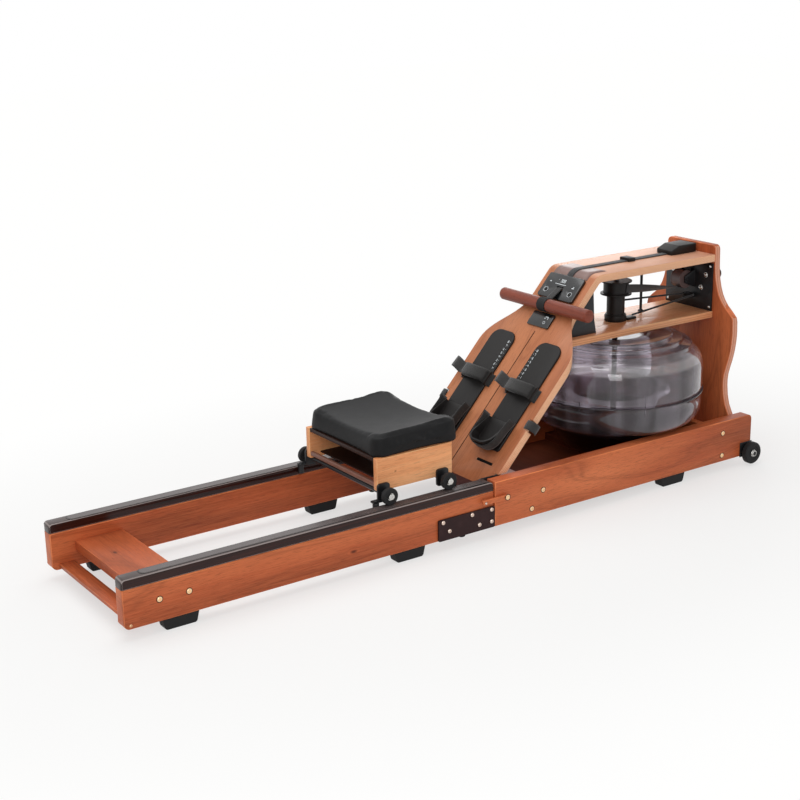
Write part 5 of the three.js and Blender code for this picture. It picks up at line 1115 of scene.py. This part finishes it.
def cushion_row(inset, height):
    row = []
    for x, y in edge:
        drawn = inset
        for here, there, half_here, half_there in (
                (x, y, cushion_half.x, cushion_half.y), (y, x, cushion_half.y, cushion_half.x)):
            if abs(here) > half_here - 2:
                drawn = inset + 3.0 * math.cos(math.pi * there / (2 * half_there))
                break
        scale = 1 - drawn / math.hypot(x, y)
        row.append((x * scale, y * scale, height(x * scale, y * scale)))
    rows.append(row)


for turn in range(0, 91, 18):
    bend = math.radians(turn)
    cushion_row(5 * (1 - math.sin(bend)), lambda x, y: 5 * (1 - math.cos(bend)))
for share in (0.2, 0.4, 0.6, 0.8, 1.0):
    cushion_row(5.5 * share ** 1.4, lambda x, y: 5 + share * (cushion_top(x, y) - cushion_edge - 5))
for turn in range(15, 91, 15):
    bend = math.radians(turn)
    cushion_row(5.5 + cushion_edge * (1 - math.cos(bend)),
                lambda x, y: cushion_top(x, y) - cushion_edge * (1 - math.sin(bend)))
rim = rows[-1]
for share in (0.93, 0.84, 0.74, 0.63, 0.51, 0.39, 0.26, 0.13):
    rows.append([(x * share, y * share, cushion_top(x * share, y * share)) for x, y, height in rim])
rows.append([(0, 0, cushion_top(0, 0))])
points, faces, starts = [], [], []
for row in rows:
    starts.append(len(points))
    points += [at(x + cushion_middle.x, y, z + cushion_floor) for x, y, z in row]
count = len(edge)
for level in range(1, len(rows) - 2):
    for i in range(count):
        j = (i + 1) % count
        low, high = starts[level], starts[level + 1]
        faces.append((low + i, low + j, high + j, high + i))
for i in range(count):
    j = (i + 1) % count
    faces += [(0, starts[1] + j, starts[1] + i), (starts[-2] + i, starts[-2] + j, starts[-1])]
cushion = make_piece("cushion", points, faces, cushion_cover)


def swell(piece, voxel, pressure, most):
    """Blows a padded form up as cloth under pressure, with each point held near its place."""
    even = piece.modifiers.new("even", "REMESH")
    even.mode = "VOXEL"
    even.voxel_size = voxel * mm
    settle(piece)
    before = [point.co.copy() for point in piece.data.vertices]
    cover = piece.modifiers.new("cover", "CLOTH")
    cover.settings.quality = 6
    cover.settings.use_pressure = True
    cover.settings.uniform_pressure_force = pressure
    cover.settings.effector_weights.gravity = 0
    for moment in range(1, 21):
        bpy.context.scene.frame_set(moment)
    settle(piece)
    bpy.context.scene.frame_set(1)
    for point, start in zip(piece.data.vertices, before):
        moved = point.co - start
        if moved.length > most * mm:
            point.co = start + moved.normalized() * most * mm


swell(cushion, voxel=5.0, pressure=4.0, most=5.0)
smooth(cushion)
fine = cushion.modifiers.new("fine", "SUBSURF")
fine.levels = fine.render_levels = 1
settle(cushion)
for point in cushion.data.vertices:
    x = point.co.x / mm + rear_end - cushion_middle.x
    y = point.co.y / mm
    height = point.co.z / mm - cushion_floor
    point.co.z = max(point.co.z, cushion_floor * mm)
    if height < 30:
        continue
    inside = inside_cushion(x, y)
    beside = min(1, max(0, (abs(y) / cushion_half.y - 0.55) / 0.3))
    along = min(1, max(0, 1.2 - abs(x) / cushion_half.x))
    ridge = 2.4 * math.exp(-((inside - 25) / 6) ** 2)
    crease = 1.6 * math.exp(-((inside - 15) / 2.6) ** 2)
    point.co.z += beside * along * (ridge - crease) * mm
link_piece(cushion, "seat", "cushion_cover", "seat_cushion")


# Seat trucks and wheels: painted steel brackets on axle rods, guide rollers inside the rails
# and four hard rubber wheels on steel hubs.
for node in ("seat_truck_rear", "seat_truck_front"):
    eased_copy(node, node + "_steel", black_steel, "black_steel", 0.4)
seat_tyre = [(10, -6.6), (18.5, -6.6), (21.6, -7), (23, -5.5), (23, 5.5), (21.6, 7), (18.5, 6.6), (10, 6.6)]
seat_hub = [(4.4, -6), (10.4, -6), (10.4, 6), (4.4, 6)]
axle_cap = [(0, 0.9), (1.5, 0.9), (2.2, 1.7), (6.0, 1.5), (8.4, 0.6), (8.8, 0), (0, 0)]
wheel_out, cap_out, axle_height = 210.5, 220.9, 182.5
for end, x in (("rear", 773), ("front", 964)):
    for side, hand in sides:
        body = f"seat_wheel_{end}_{hand}"
        middle = (x, side * wheel_out, axle_height)
        wheel = turned(f"seat_tyre_{end}_{hand}", seat_tyre, middle, rubber, "y", 56, 0.4)
        link_piece(wheel, body, "rubber", body)
        core = turned(f"seat_hub_{end}_{hand}", seat_hub, middle, bright_steel, "y", 40, 0.3)
        link_piece(core, body, "black_steel")
        cover = turned(f"axle_cap_{end}_{hand}", axle_cap, (x, side * cap_out, axle_height), bright_steel,
                       outward_turn(side), 32, 0.2)
        link_piece(cover, "seat", "black_steel")


# Transport wheels: two solid rubber tyres under domed steel caps, each on an axle in a plate
# that is bolted to the nose of its front board.
nose_tyre = [(6.5, -8), (20, -8), (22, -10), (31, -10), (34, -7)]
nose_tyre += [(radius, -place) for radius, place in nose_tyre[::-1]]
nose_cap = [(0, 4.6), (5, 4.4), (9, 3.4), (11.6, 0.4), (11.6, 0), (0, 0)]
nose_x, nose_z = 2091, 39
for side, hand in sides:
    body = "transport_wheel_" + hand
    eased_copy("wheel_bracket_" + hand, "nose_bracket_" + hand, black_steel, "black_steel", 0.4)
    tyre = turned("nose_tyre_" + hand, nose_tyre, (nose_x, side * 257.2, nose_z), rubber, "y", 64, 0.5)
    link_piece(tyre, body, "rubber", body)
    cover = turned("nose_axle_" + hand, nose_cap, (nose_x, side * 267.4, nose_z), bright_steel,
                   outward_turn(side), 32, 0.3)
    link_piece(cover, "front_frame", "black_steel")
